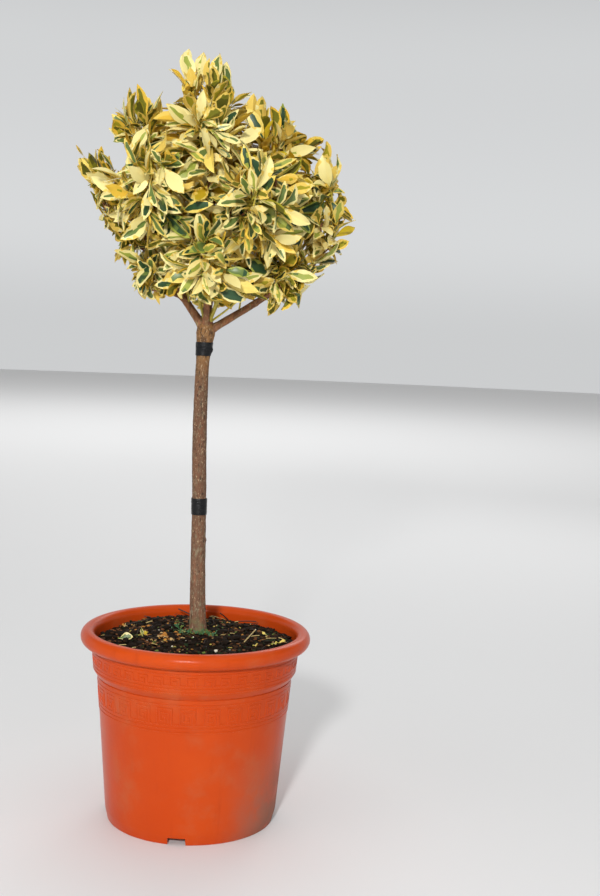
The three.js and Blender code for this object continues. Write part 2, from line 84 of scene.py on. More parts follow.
lens = bpy.data.cameras.new("camera")
lens.sensor_width = SENSOR_MM
lens.lens = SENSOR_MM * FOCAL_PIXELS / IMAGE_HEIGHT
camera = bpy.data.objects.new("camera", lens)
look_down = Matrix.Rotation(math.pi / 2 - CAMERA_PITCH, 4, "X")
camera.matrix_world = Matrix.Translation(CAMERA_PLACE) @ look_down @ Matrix.Rotation(CAMERA_ROLL, 4, "Z")
bpy.context.collection.objects.link(camera)
bpy.context.scene.camera = camera
print("lens, mm:", round(lens.lens, 1))

# %% [markdown]
# The floor is one wide pale disc from the circle operator. A square plane would do as well, but its
# corners would show in a wide view. The helper here makes every material of a single colour in this
# lesson.

# %% The floor
FLOOR_RADIUS = 14.0
FLOOR_SEGMENTS = 96
FLOOR_GREY = (0.8, 0.8, 0.8)
FLOOR_ROUGHNESS = 0.9


def plain_material(name, colour, roughness, **sockets):
    """A material of one colour. Its shader's other sockets are named by their labels, _ for a space."""
    material = bpy.data.materials.new(name)
    material.use_nodes = True
    shader = material.node_tree.nodes["Principled BSDF"]
    shader.inputs["Base Color"].default_value = (*colour, 1)
    shader.inputs["Roughness"].default_value = roughness
    for label, value in sockets.items():
        shader.inputs[label.replace("_", " ")].default_value = value
    return material


bm = bmesh.new()
bmesh.ops.create_circle(bm, cap_ends=True, segments=FLOOR_SEGMENTS, radius=FLOOR_RADIUS)
floor_mesh = bpy.data.meshes.new("floor")
bm.to_mesh(floor_mesh)
bm.free()
floor_mesh.materials.append(plain_material("pale floor", FLOOR_GREY, FLOOR_ROUGHNESS))
floor = bpy.data.objects.new("floor", floor_mesh)
bpy.context.collection.objects.link(floor)
floor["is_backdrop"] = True
print("floor, metres across:", 2 * FLOOR_RADIUS)

# %% [markdown]
# The light is a studio's. In the photograph the long highlight on the pot's rim lies a little left of the
# middle and above its crest, and the stem's shadow falls a little to the right. Both say that the main
# lamp stands just left of the camera and higher, so it does here, and it is small enough to leave crisp
# shadows between the leaves. Weaker wide lamps fill from the left and light the back. A lamp over the far
# floor and a very soft light from above keep the scene pale.

# %% The lamps
LAMPS = {
    # place, point that it faces, width in metres, power in watts
    "key lamp": ((-0.2, -2.35, 1.24), (0, 0, 0.5), 0.22, 46),
    "fill lamp": ((-2.0, -1.3, 1.6), (0, 0, 0.5), 1.4, 3),
    "back lamp": ((0.9, 2.3, 1.7), (0, 0, 0.5), 1.2, 9),
    "floor lamp": ((-0.5, 5.4, 3.6), (-0.5, 5.6, 0), 5.0, 110),
}
SKY_STRENGTH = 1.15
SKY_SPREAD = 80

for name, (place, aim, width, watts) in LAMPS.items():
    lamp = bpy.data.lights.new(name, "AREA")
    lamp.shape = "DISK"
    lamp.size = width
    lamp.energy = watts
    holder = bpy.data.objects.new(name, lamp)
    facing = (Vector(aim) - Vector(place)).to_track_quat("-Z", "Y")
    holder.matrix_world = Matrix.Translation(place) @ facing.to_matrix().to_4x4()
    bpy.context.collection.objects.link(holder)

sky = bpy.data.lights.new("soft sky", "SUN")
sky.energy = SKY_STRENGTH
sky.angle = math.radians(SKY_SPREAD)
bpy.context.collection.objects.link(bpy.data.objects.new("soft sky", sky))
print("lamps:", len(LAMPS), "and a soft sky")

# %% [markdown]
# The room itself gives light too, and it shows in the gloss of the pot. A picture of a real room could be
# used, but a gradient is enough: brighter near the horizon, like a wall, and dimmer overhead.

# %% The room
ROOM_STOPS = [
    # height of the direction, brightness
    (0.0, 0.62),
    (0.08, 0.7),
    (0.2, 0.66),
    (0.5, 0.06),
]
ROOM_TINT = (0.975, 0.99, 1.0)

room = bpy.data.worlds.new("pale room")
room.use_nodes = True
room_nodes = room.node_tree.nodes
direction = room_nodes.new("ShaderNodeTexCoord")
parts = room_nodes.new("ShaderNodeSeparateXYZ")
gradient = room_nodes.new("ShaderNodeValToRGB")
gradient.color_ramp.interpolation = "EASE"
stops = gradient.color_ramp.elements
stops[1].position = ROOM_STOPS[-1][0]
for height, _ in ROOM_STOPS[1:-1]:
    stops.new(height)
for stop, (_, level) in zip(stops, ROOM_STOPS):
    stop.color = (*[level * tint for tint in ROOM_TINT], 1)
room.node_tree.links.new(direction.outputs["Generated"], parts.inputs["Vector"])
room.node_tree.links.new(parts.outputs["Z"], gradient.inputs["Fac"])
room.node_tree.links.new(gradient.outputs["Color"], room_nodes["Background"].inputs["Color"])
bpy.context.scene.world = room
bpy.context.scene.view_settings.view_transform = "Standard"
print("stops of the room's gradient:", len(stops))

# %% [markdown]
# ## Tools for every piece
# Each piece is shaped in its final place, and then becomes an object at the origin that rides on the part
# and stands for the solids that it replaces. One function does that last step for all pieces. Some
# operators leave the faces in an order that changes from run to run, so a finished shape has its faces put
# in order first.

# %% From mesh to piece
def finish_piece(name, mesh, materials, replaced=(), crease=40):
    """Makes a mesh a smooth piece of the part, with sharp edges where faces meet at more than crease."""
    for material in materials:
        mesh.materials.append(material)
    mesh.shade_smooth()
    mesh.set_sharp_from_angle(angle=math.radians(crease))
    piece = bpy.data.objects.new(name, mesh)
    bpy.context.collection.objects.link(piece)
    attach(piece, "root")
    if replaced:
        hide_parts(*replaced)
    print(name, "has", len(mesh.polygons), "faces")


def settle(bm):
    """Puts the faces in the order of their corners, which some operators leave to chance."""
    bm.verts.index_update()
    count = len(bm.verts)

    def rank(face):
        first, second, third = sorted(vert.index for vert in face.verts)[:3]
        return (first * count + second) * count + third

    bm.faces.sort(key=rank)


def mesh_of(bm, name):
    """The mesh of a finished bmesh."""
    settle(bm)
    mesh = bpy.data.meshes.new(name)
    bm.to_mesh(mesh)
    bm.free()
    return mesh


def only(kind, items):
    """The vertices, or the edges, among what an operator gives back."""
    return [item for item in items if isinstance(item, kind)]


# %% [markdown]
# Leaves, twigs and crumbs come in hundreds. An operator call for each would take minutes, so each kind of
# shape is made once by operators as a template, and its corners are then moved for every copy. A bundle
# gathers the moved copies and turns them into one mesh. Instances would be lighter still, but each copy
# here has a shape of its own.

# %% Templates and bundles
class Template:
    """Corners and faces of a shape that will be copied."""

    def __init__(self, bm):
        bm.verts.index_update()
        self.corners = np.array([vert.co[:] for vert in bm.verts])
        self.faces = [[vert.index for vert in face.verts] for face in bm.faces]
        bm.free()


class Bundle:
    """Moved copies of templates, gathered for one mesh."""

    def __init__(self):
        self.corners = []
        self.faces = []
        self.slots = []
        self.count = 0

    def add(self, template, corners, slots=0):
        self.corners.append(corners)
        self.faces += [[corner + self.count for corner in face] for face in template.faces]
        self.slots += [slots] * len(template.faces) if isinstance(slots, int) else slots
        self.count += len(corners)

    def mesh(self, name):
        mesh = bpy.data.meshes.new(name)
        mesh.from_pydata(np.concatenate(self.corners), [], self.faces)
        mesh.polygons.foreach_set("material_index", self.slots)
        return mesh


bm = bmesh.new()
bmesh.ops.create_cube(bm)
print("a cube as a template has", len(Template(bm).corners), "corners")

# %% [markdown]
# Wood is tubular, so stem, boughs and twigs are all tubes bent along paths. Blender's own curve bevel
# could do it, but here the bark pushes each point in or out. A path is walked by its length, as a gardener
# measures a cane. The part's own limbs are smooth curves through three points, and these paths follow
# them.

# %% Paths
LOOK_SHARE = 0.02


class Path:
    """A line of close points, walked by the share of its length."""

    def __init__(self, points):
        self.points = np.array([tuple(point) for point in points])
        steps = np.linalg.norm(np.diff(self.points, axis=0), axis=1)
        self.run = np.concatenate([[0], np.cumsum(steps)])
        self.length = float(self.run[-1])

    def places(self, shares):
        """The points at some shares of the length."""
        run = np.clip(shares, 0, 1) * self.length
        return np.stack([np.interp(run, self.run, self.points[:, axis]) for axis in range(3)], axis=-1)

    def at(self, share):
        return Vector(self.places(share))

    def way(self, share):
        """The direction there, taken a little way before and after."""
        return (self.at(share + LOOK_SHARE) - self.at(share - LOOK_SHARE)).normalized()


def through(knots, per_span=24):
    """A path through its knots that never loops: the knots' spacing sets how fast it turns."""
    knots = [Vector(knot) for knot in knots]
    chain = [2 * knots[0] - knots[1], *knots, 2 * knots[-1] - knots[-2]]
    points = []
    for before, start, end, after in zip(chain, chain[1:], chain[2:], chain[3:]):
        a, b, c = [math.sqrt((q - p).length) for p, q in ((before, start), (start, end), (end, after))]
        leave = ((start - before) / a - (end - before) / (a + b) + (end - start) / b) * b
        arrive = ((end - start) / b - (after - start) / (b + c) + (after - end) / c) * b
        points += geometry.interpolate_bezier(start, start + leave / 3, end - arrive / 3, end, per_span)
    return Path([point for i, point in enumerate(points) if i == 0 or point != points[i - 1]])


def bent(start, elbow, end, count=12):
    """A path that leaves its start towards the elbow and ends coming from it."""
    handles = [(start + 2 * elbow) / 3, (end + 2 * elbow) / 3]
    return Path(geometry.interpolate_bezier(start, *handles, end, count))


print("a path through three points is", round(through([(0, 0, 0), (1, 0, 1), (3, 0, 1)]).length, 2), "long")


# %% Tubes along paths
tube_templates = {}


def upright_edges(bm):
    """The edges that run along Z in a shape one unit high."""
    return [edge for edge in bm.edges if abs(edge.verts[0].co.z - edge.verts[1].co.z) > 0.5]


def tube_template(sides, steps):
    """A closed tube of radius 1 along Z, from 0 to 1, made once for each count of sides and steps."""
    if (sides, steps) not in tube_templates:
        bm = bmesh.new()
        up = Matrix.Translation((0, 0, 0.5))
        bmesh.ops.create_cone(bm, cap_ends=True, segments=sides, radius1=1, radius2=1, depth=1, matrix=up)
        if steps > 1:
            bmesh.ops.subdivide_edges(bm, edges=upright_edges(bm), cuts=steps - 1)
        tube_templates[sides, steps] = Template(bm)
    return tube_templates[sides, steps]


def directions_across(ways):
    """A direction across the path for each ring, turned as little as possible from ring to ring."""
    across = np.zeros_like(ways)
    side = np.array(Vector(ways[0]).orthogonal().normalized())
    for ring, way in enumerate(ways):
        side = side - way * side.dot(way)
        side = side / np.linalg.norm(side)
        across[ring] = side
    return across


def sweep(path, radii, sides, steps, relief=None):
    """A tube's corners along a path. radii has one radius a ring; relief(ring, turn) stands out from it."""
    template = tube_template(sides, steps)
    rings = np.rint(template.corners[:, 2] * steps).astype(int)
    turns = np.arctan2(template.corners[:, 1], template.corners[:, 0])
    shares = np.arange(steps + 1) / steps
    middles = path.places(shares)
    ways = path.places(shares + LOOK_SHARE) - path.places(shares - LOOK_SHARE)
    ways /= np.linalg.norm(ways, axis=1)[:, None]
    first = directions_across(ways)
    second = np.cross(ways, first)
    out = np.array(radii)[rings]
    if relief:
        out = out + np.array([relief(ring, turn) for ring, turn in zip(rings, turns)])
    swing = first[rings] * np.cos(turns)[:, None] + second[rings] * np.sin(turns)[:, None]
    return template, middles[rings] + swing * out[:, None]


print("a tube of six sides has", len(tube_template(6, 4).faces), "faces")

# %% [markdown]
# Several finishes need the same uneven blotches: dust on the pot, specks on bark, crumbs in soil. A noise
# texture in each material would do, but a shared node group keeps one recipe, and each material sets its
# own size and edges.

# %% The blotch group
def link(tree, source, target):
    tree.links.new(source, target)


def new_group(name, inputs, output):
    """An empty node group with number inputs and one output."""
    tree = bpy.data.node_groups.new(name, "ShaderNodeTree")
    for label, value in inputs.items():
        kind = "NodeSocketVector" if isinstance(value, tuple) else "NodeSocketFloat"
        tree.interface.new_socket(label, in_out="INPUT", socket_type=kind).default_value = value
    tree.interface.new_socket(output, in_out="OUTPUT", socket_type="NodeSocketFloat")
    return tree, tree.nodes.new("NodeGroupInput"), tree.nodes.new("NodeGroupOutput")


blotches, given, result = new_group(
    "blotches", {"Stretch": (1.0, 1.0, 1.0), "Scale": 50.0, "Low": 0.4, "High": 0.6}, "Mask"
)
place = blotches.nodes.new("ShaderNodeTexCoord")
stretch = blotches.nodes.new("ShaderNodeVectorMath")
stretch.operation = "MULTIPLY"
spots = blotches.nodes.new("ShaderNodeTexNoise")
spots.inputs["Detail"].default_value = 5
spots.inputs["Roughness"].default_value = 0.6
edge = blotches.nodes.new("ShaderNodeMapRange")
edge.interpolation_type = "SMOOTHSTEP"
for source, target in [
    (place.outputs["Object"], stretch.inputs[0]),
    (given.outputs["Stretch"], stretch.inputs[1]),
    (stretch.outputs["Vector"], spots.inputs["Vector"]),
    (given.outputs["Scale"], spots.inputs["Scale"]),
    (spots.outputs["Fac"], edge.inputs["Value"]),
    (given.outputs["Low"], edge.inputs["From Min"]),
    (given.outputs["High"], edge.inputs["From Max"]),
    (edge.outputs["Result"], result.inputs["Mask"]),
]:
    link(blotches, source, target)
print("group:", blotches.name)

# %% [markdown]
# A real surface is one colour with stains, dust and wear over it. A painted picture could show them, but
# blotches laid over one another need no picture and have no seam. One class lays such coats for plastic,
# compost, bark and tape.

# %% Building a layered material
class Finish:
    """A material built up in layers: a base colour, then blotches of other colours over it."""

    def __init__(self, name, colour, roughness, **sockets):
        self.material = plain_material(name, colour, roughness, **sockets)
        self.tree = self.material.node_tree
        self.shader = self.tree.nodes["Principled BSDF"]
        self.colour = None
        self.base = (*colour, 1)

    def mask(self, scale, low, high, stretch=(1, 1, 1)):
        """Blotches that fade in between two levels of their noise. A larger scale makes them smaller."""
        group = self.tree.nodes.new("ShaderNodeGroup")
        group.node_tree = blotches
        for label, value in (("Scale", scale), ("Low", low), ("High", high), ("Stretch", stretch)):
            group.inputs[label].default_value = value
        return group.outputs["Mask"]

    def times(self, first, second):
        """A mask multiplied by another or by a number."""
        node = self.tree.nodes.new("ShaderNodeMath")
        node.operation = "MULTIPLY"
        for socket, value in zip(node.inputs, (first, second)):
            if isinstance(value, float):
                socket.default_value = value
            else:
                link(self.tree, value, socket)
        return node.outputs["Value"]

    def ramp(self, axis, low, high):
        """0 to 1 along an axis of the object, between two places in metres."""
        place = self.tree.nodes.new("ShaderNodeTexCoord")
        parts = self.tree.nodes.new("ShaderNodeSeparateXYZ")
        spread = self.tree.nodes.new("ShaderNodeMapRange")
        spread.interpolation_type = "SMOOTHSTEP"
        spread.inputs["From Min"].default_value = low
        spread.inputs["From Max"].default_value = high
        link(self.tree, place.outputs["Object"], parts.inputs["Vector"])
        link(self.tree, parts.outputs[axis], spread.inputs["Value"])
        return spread.outputs["Result"]

    def layer(self, mask, colour):
        """Lays a colour over what is there, where the mask is high."""
        mix = self.tree.nodes.new("ShaderNodeMix")
        mix.data_type = "RGBA"
        under, over = [socket for socket in mix.inputs if socket.type == "RGBA"]
        output = [socket for socket in mix.outputs if socket.type == "RGBA"][0]
        if self.colour is None:
            under.default_value = self.base
        else:
            link(self.tree, self.colour, under)
        over.default_value = (*colour, 1)
        link(self.tree, mask, mix.inputs["Factor"])
        link(self.tree, output, self.shader.inputs["Base Color"])
        self.colour = output

    def roughen(self, mask, low, high):
        """Runs the roughness from low to high with the mask."""
        spread = self.tree.nodes.new("ShaderNodeMapRange")
        spread.inputs["To Min"].default_value = low
        spread.inputs["To Max"].default_value = high
        link(self.tree, mask, spread.inputs["Value"])
        link(self.tree, spread.outputs["Result"], self.shader.inputs["Roughness"])

    def bump(self, mask, depth):
        """Raises the surface by up to depth, in metres, where the mask is high."""
        node = self.tree.nodes.new("ShaderNodeBump")
        node.inputs["Distance"].default_value = depth
        link(self.tree, mask, node.inputs["Height"])
        link(self.tree, node.outputs["Normal"], self.shader.inputs["Normal"])


print("tools of a finish:", [tool for tool in vars(Finish) if not tool.startswith("_")])

# %% [markdown]
# ## The pot
# It is a thin injection-moulded pot: a tapered wall, a stepped collar, a fat rim rolled over outwards, and
# a foot with a drain notch on each side. The section through the wall is drawn once, with small round
# fillets where the mould has them, and spun round the axis. A lathe shape could come from the Screw
# modifier too, but the spin operator closes its own seam.

# %% The wall's section
WALL = 2.4
FOOT_RADIUS = 94.9
HEEL = (97.6, 12)
STEP = (110.2, 164.9)
COLLAR_FOOT = (114.5, 171.5)
COLLAR_TOP = (116.9, 198)
CREST_RADIUS = 121.1
ROLL = 8.8
ROLL_INNER = 7.2
RIM_HEIGHT = 217.2
PAD_RADIUS = 55
CHANNEL_HEIGHT = 8.6
CHANNEL_SLOPE = 2
SKIRT = 3
HEEL_INSET = 1
FILLET = 0.9
FOOT_FILLET = 0.8
HEEL_FILLET = 1.3
GROOVE = [(110.1, 163.9), (109.1, 164.5), (109.1, 165.3), (110.5, 165.5)]
POT_SEGMENTS = 160


def arc(middle, radius_x, radius_z, start, end, count):
    """Points of an arc, angles in degrees."""
    angles = [math.radians(start + (end - start) * i / count) for i in range(count + 1)]
    return [(middle[0] + radius_x * math.cos(a), middle[1] + radius_z * math.sin(a)) for a in angles]


def fillet(before, corner, after, radius=FILLET, count=4):
    """A corner rounded by a short bend between its two sides."""
    corner, before, after = Vector(corner), Vector(before), Vector(after)
    start = corner + (before - corner).normalized() * radius
    end = corner + (after - corner).normalized() * radius
    handles = [(start + 2 * corner) / 3, (end + 2 * corner) / 3]
    return [tuple(point) for point in geometry.interpolate_bezier(start, *handles, end, count)]


roll_middle = RIM_HEIGHT - ROLL
roll_inside = ROLL - WALL
collar_rim = (COLLAR_TOP[0], roll_middle)
inner = [(radius - WALL, height) for radius, height in (COLLAR_TOP, COLLAR_FOOT, STEP)]
floor_height = CHANNEL_HEIGHT + WALL
inner_floor = (HEEL[0] - HEEL_INSET - WALL, floor_height)
section = [
    (0, 0),
    *fillet((0, 0), (PAD_RADIUS, 0), (PAD_RADIUS + CHANNEL_SLOPE, CHANNEL_HEIGHT)),
    (PAD_RADIUS + CHANNEL_SLOPE, CHANNEL_HEIGHT),
    (FOOT_RADIUS - SKIRT, CHANNEL_HEIGHT),
    (FOOT_RADIUS - SKIRT, 0),
    *fillet((FOOT_RADIUS - SKIRT, 0), (FOOT_RADIUS, 0), HEEL, FOOT_FILLET),
    *fillet((FOOT_RADIUS, 0), HEEL, STEP, HEEL_FILLET),
    *GROOVE,
    *fillet(GROOVE[-1], COLLAR_FOOT, COLLAR_TOP, FOOT_FILLET),
    *fillet(COLLAR_FOOT, COLLAR_TOP, collar_rim),
    collar_rim,
    *arc((CREST_RADIUS, roll_middle), roll_inside, roll_inside, 120, -90, 14),
    *arc((CREST_RADIUS, roll_middle), ROLL, ROLL, -100, 90, 24),
    *arc((CREST_RADIUS, roll_middle), ROLL_INNER, ROLL, 98, 180, 12),
    *inner,
    *fillet(inner[-1], inner_floor, (0, floor_height)),
    (PAD_RADIUS, floor_height),
    (PAD_RADIUS - CHANNEL_SLOPE, WALL),
    (0, WALL),
]
print("points in the pot's section:", len(section))

# %% Spinning the pot
bm = bmesh.new()
chain = [bm.verts.new((radius * MM, 0, height * MM)) for radius, height in section]
edges = [bm.edges.new(pair) for pair in zip(chain, chain[1:])]
turning = {"cent": (0, 0, 0), "axis": (0, 0, 1), "angle": math.tau, "steps": POT_SEGMENTS}
bmesh.ops.spin(bm, geom=chain + edges, use_merge=True, **turning)
bmesh.ops.remove_doubles(bm, verts=bm.verts, dist=0.01 * MM)
bmesh.ops.recalc_face_normals(bm, faces=bm.faces)
pot_mesh = mesh_of(bm, "spun pot")
spun_pot = bpy.data.objects.new("spun pot", pot_mesh)
bpy.context.collection.objects.link(spun_pot)
print("faces round the pot:", len(pot_mesh.polygons))

# %% [markdown]
# The foot has four drain notches, each a little narrower at its top. A wedge is set through the skirt at
# each place and cut out with the Boolean modifier, whose result is then kept as the pot's mesh.

# %% Drain notches
NOTCH_TURNS = [-94, -4, 86, 176]
NOTCH_HEIGHT = 8
NOTCH_WIDTH = 20.2
NOTCH_TAPER = 0.96
WEDGE_REACH = 12
WEDGE_BELOW = 1

bm = bmesh.new()
for turn in NOTCH_TURNS:
    wedge = bmesh.ops.create_cube(bm, size=1)["verts"]
    for vert in wedge:
        narrow = NOTCH_TAPER if vert.co.z > 0 else 1
        up = (vert.co.z + 0.5) * (NOTCH_HEIGHT + WEDGE_BELOW) - WEDGE_BELOW
        vert.co = Vector((vert.co.x * WEDGE_REACH, vert.co.y * NOTCH_WIDTH * narrow, up))
        vert.co = (vert.co + Vector((FOOT_RADIUS, 0, 0))) * MM
    bmesh.ops.rotate(bm, verts=wedge, matrix=Matrix.Rotation(math.radians(turn), 3, "Z"))
wedges = bpy.data.objects.new("wedges", mesh_of(bm, "wedges"))
bpy.context.collection.objects.link(wedges)
cut = spun_pot.modifiers.new("notches", "BOOLEAN")
cut.object = wedges
cut.solver = "EXACT"
evaluated = spun_pot.evaluated_get(bpy.context.evaluated_depsgraph_get())
notched = bpy.data.meshes.new_from_object(evaluated)
bpy.data.objects.remove(spun_pot)
bpy.data.objects.remove(wedges)
print("faces of the notched pot:", len(notched.polygons))

# %% [markdown]
# Two borders run round the pot, a wide one on the wall and a narrow one on the collar. Each is the old
# Greek key, moulded as raised lines half a millimetre high. A bump texture could fake it, but the lines
# catch light on their upper edges, so they are real relief. Each border is a grid of small squares bent
# round the wall. The squares between the lines are deleted, the rest gets a thickness, and its outer faces
# are raised with sloping sides.

# %% The key's drawings
WIDE_KEY = [
    "##############",
    "..............",
    "##########....",
    "#........#....",
    "#.######.#....",
    "#.#....#.#....",
    "#.#.##.#.#....",
    "#.#..#.#.#....",
    "#.####.#.#....",
    "#......#.#....",
    "########.#####",
    "..............",
    "##############",
    "..............",
    "##############",
]
NARROW_KEY = [
    "##########",
    "..........",
    "#######...",
    "#.....#...",
    "#.###.#...",
    "#...#.#...",
    "#####.####",
    "..........",
    "##########",
    "..........",
    "##########",
]
print("rows of the keys:", len(WIDE_KEY), len(NARROW_KEY))

# %% A border round the wall
WIDE_SPAN = (127.2, 159.4)
NARROW_SPAN = (172.4, 194.4)
WIDE_UNITS = 27
NARROW_UNITS = 40
LINE_SUNK = 0.3


def key_border(bm, rows, units, span, low, high):
    """One border round the wall, whose outline runs from the point low to the point high."""
    columns = units * len(rows[0])
    cells = bmesh.ops.create_grid(bm, x_segments=columns, y_segments=len(rows), size=0.5)["verts"]
    gone = []
    for face in {face for vert in cells for face in vert.link_faces}:
        middle = face.calc_center_median()
        column = int((middle.x + 0.5) * columns)
        row = int((0.5 - middle.y) * len(rows))
        if rows[row][column % len(rows[0])] == ".":
            gone.append(face)
    bmesh.ops.delete(bm, geom=gone, context="FACES")
    cells = [vert for vert in cells if vert.is_valid]
    for vert in cells:
        turn = math.tau * (vert.co.x + 0.5)
        height = span[0] + (span[1] - span[0]) * (vert.co.y + 0.5)
        share = (height - low[1]) / (high[1] - low[1])
        radius = low[0] + (high[0] - low[0]) * share - LINE_SUNK
        vert.co = Vector((radius * math.cos(turn), radius * math.sin(turn), height)) * MM
    bmesh.ops.remove_doubles(bm, verts=cells, dist=0.01 * MM)


bm = bmesh.new()
key_border(bm, WIDE_KEY, WIDE_UNITS, WIDE_SPAN, HEEL, STEP)
key_border(bm, NARROW_KEY, NARROW_UNITS, NARROW_SPAN, COLLAR_FOOT, COLLAR_TOP)
loose = [vert for vert in bm.verts if not vert.link_faces]
bmesh.ops.delete(bm, geom=loose, context="VERTS")
print("squares of the borders:", len(bm.faces))

# %% The raised lines
LINE_HEIGHT = 0.45
LINE_SLOPE = 0.4
FACES_OUT = 0.9

for face in bm.faces:
    if face.normal.dot(face.calc_center_median()) < 0:
        face.normal_flip()
outer = list(bm.faces)
bm.normal_update()
bmesh.ops.solidify(bm, geom=outer, thickness=LINE_SUNK * MM)
bm.normal_update()
skin = []
for face in bm.faces:
    middle = face.calc_center_median()
    radial = Vector((middle.x, middle.y, 0)).normalized()
    if face.normal.dot(radial) > FACES_OUT:
        skin.append(face)
lift = (LINE_HEIGHT + LINE_SUNK) * MM
bmesh.ops.inset_region(bm, faces=skin, thickness=LINE_SLOPE * MM, depth=lift, use_even_offset=True)
bmesh.ops.recalc_face_normals(bm, faces=bm.faces)
print("faces of the key borders:", len(bm.faces))
bm.from_mesh(notched)

# %% [markdown]
# The plastic is a warm terracotta orange with a soft gloss. It is never one flat colour: the mould leaves
# faint paler patches, handling has left pale specks, and a grey-brown film of dust lies low on the right
# side. The film is a blotch mask times two ramps that place it, and it makes the gloss dull where it lies.

# %% Orange plastic
pot_finish = Finish("orange plastic", (0.54, 0.058, 0.006), 0.28, Specular_IOR_Level=0.14)
pot_finish.layer(pot_finish.mask(9, 0.35, 0.7), (0.58, 0.068, 0.007))
pot_finish.layer(pot_finish.mask(60, 0.55, 0.85, (1, 1, 0.12)), (0.47, 0.05, 0.006))
film_side = pot_finish.ramp("X", 0.03, 0.1)
film_low = pot_finish.ramp("Z", 0.12, 0.0)
film = pot_finish.times(pot_finish.times(film_side, film_low), pot_finish.mask(34, 0.2, 0.62))
pot_finish.layer(pot_finish.times(film, 0.9), (0.25, 0.14, 0.1))
pot_finish.layer(pot_finish.times(pot_finish.mask(24, 0.5, 0.8), 0.3), (0.42, 0.16, 0.07))
pot_finish.layer(pot_finish.mask(420, 0.735, 0.76), (0.75, 0.45, 0.3))
pot_finish.roughen(film, 0.28, 0.72)
pot_finish.bump(pot_finish.mask(260, 0.3, 0.7), 0.04 * MM)
finish_piece("pot_shell", mesh_of(bm, "pot_shell"), [pot_finish.material], ["pot"], crease=32)

# %% [markdown]
# ## The compost
# Moist potting compost is nearly black and crumbly, heaped a little round the stem and higher at the back
# left. Its top is a disc of a fine grid, pushed up and down by noise of four sizes, and its sides go down
# the pot's inside so that it is a closed plug. Loose crumbs on top do the rest.

# %% The height of the compost
GROUND = 212.3
SOIL_EDGE = 199
PAD_AT_STEM = 15
CALM_RING = 10
HEAP_POWER = 1.5
MOUND = (Vector((-38, 78)), 42, 4.5)
WAVES = [
    # height of the wave, its length, which layer of the noise
    (2.0, 24, 0),
    (2.6, 10, 40),
]


def waves(x, y, kinds):
    """Uneven ground from a few sizes of noise."""
    return sum(height * noise.noise(Vector((x, y, layer)) / length) for height, length, layer in kinds)


def soil_height(x, y):
    """Height of the compost at a place, in mm, without the fine crumb."""
    radius = math.hypot(x, y)
    share = max((radius - PAD_AT_STEM) / (COLLAR_TOP[0] - PAD_AT_STEM), 0)
    heap = GROUND - (GROUND - SOIL_EDGE) * share**HEAP_POWER
    middle, width, height = MOUND
    mound = height * math.exp(-((Vector((x, y)) - middle).length / width) ** 2)
    away = min(max((radius - PAD_AT_STEM) / CALM_RING, 0), 1)
    return heap + mound * away + waves(x, y, WAVES) * away


print("compost at the stem and at the wall, mm:", round(soil_height(0, 0)), round(soil_height(110, 0)))

# %% The plug of compost
SOIL_CELLS = 128
SOIL_CLEAR = 0.5
SOIL_RADIUS = COLLAR_TOP[0] - WALL - SOIL_CLEAR
FINE_WAVES = [(2.0, 4.6, 7), (1.1, 2.1, 3)]
FINE_SINK = 0.6
PLUG_RINGS = [
    # radius and height of the rings down the side
    (STEP[0] - WALL - SOIL_CLEAR, STEP[1]),
    (HEEL[0] - HEEL_INSET - WALL - SOIL_CLEAR, floor_height + SOIL_CLEAR),
]

bm = bmesh.new()
bmesh.ops.create_grid(bm, x_segments=SOIL_CELLS, y_segments=SOIL_CELLS, size=1)
for vert in bm.verts:
    x, y = vert.co.x, vert.co.y
    round_x = x * math.sqrt(1 - y * y / 2) * SOIL_RADIUS
    round_y = y * math.sqrt(1 - x * x / 2) * SOIL_RADIUS
    height = soil_height(round_x, round_y) + waves(round_x, round_y, FINE_WAVES) - FINE_SINK
    vert.co = Vector((round_x, round_y, height)) * MM
ring = [edge for edge in bm.edges if edge.is_boundary]
for radius, height in PLUG_RINGS:
    grown = bmesh.ops.extrude_edge_only(bm, edges=ring)["geom"]
    for vert in only(bmesh.types.BMVert, grown):
        flat = Vector((vert.co.x, vert.co.y)).normalized() * radius
        vert.co = Vector((flat.x, flat.y, height)) * MM
    ring = [edge for edge in only(bmesh.types.BMEdge, grown) if edge.is_boundary]
bmesh.ops.holes_fill(bm, edges=ring, sides=0)
bmesh.ops.recalc_face_normals(bm, faces=bm.faces)

soil_finish = Finish("moist compost", (0.012, 0.0065, 0.003), 0.9, Specular_IOR_Level=0.12)
soil_finish.layer(soil_finish.mask(170, 0.5, 0.72), (0.035, 0.02, 0.011))
soil_finish.layer(soil_finish.mask(420, 0.62, 0.74), (0.09, 0.045, 0.02))
soil_finish.bump(soil_finish.mask(600, 0.2, 0.8), 0.6 * MM)
finish_piece("compost", mesh_of(bm, "compost"), [soil_finish.material], ["soil"], crease=70)

# %% [markdown]
# Crumbs of peat, chips of bark and a few grains of perlite lie on the compost. Each is an icosphere of
# twenty faces, squashed and turned at random, and the chips' colour goes by their kind. The orange and tan
# chips gather at the front left of the stem, as they do in the picture.

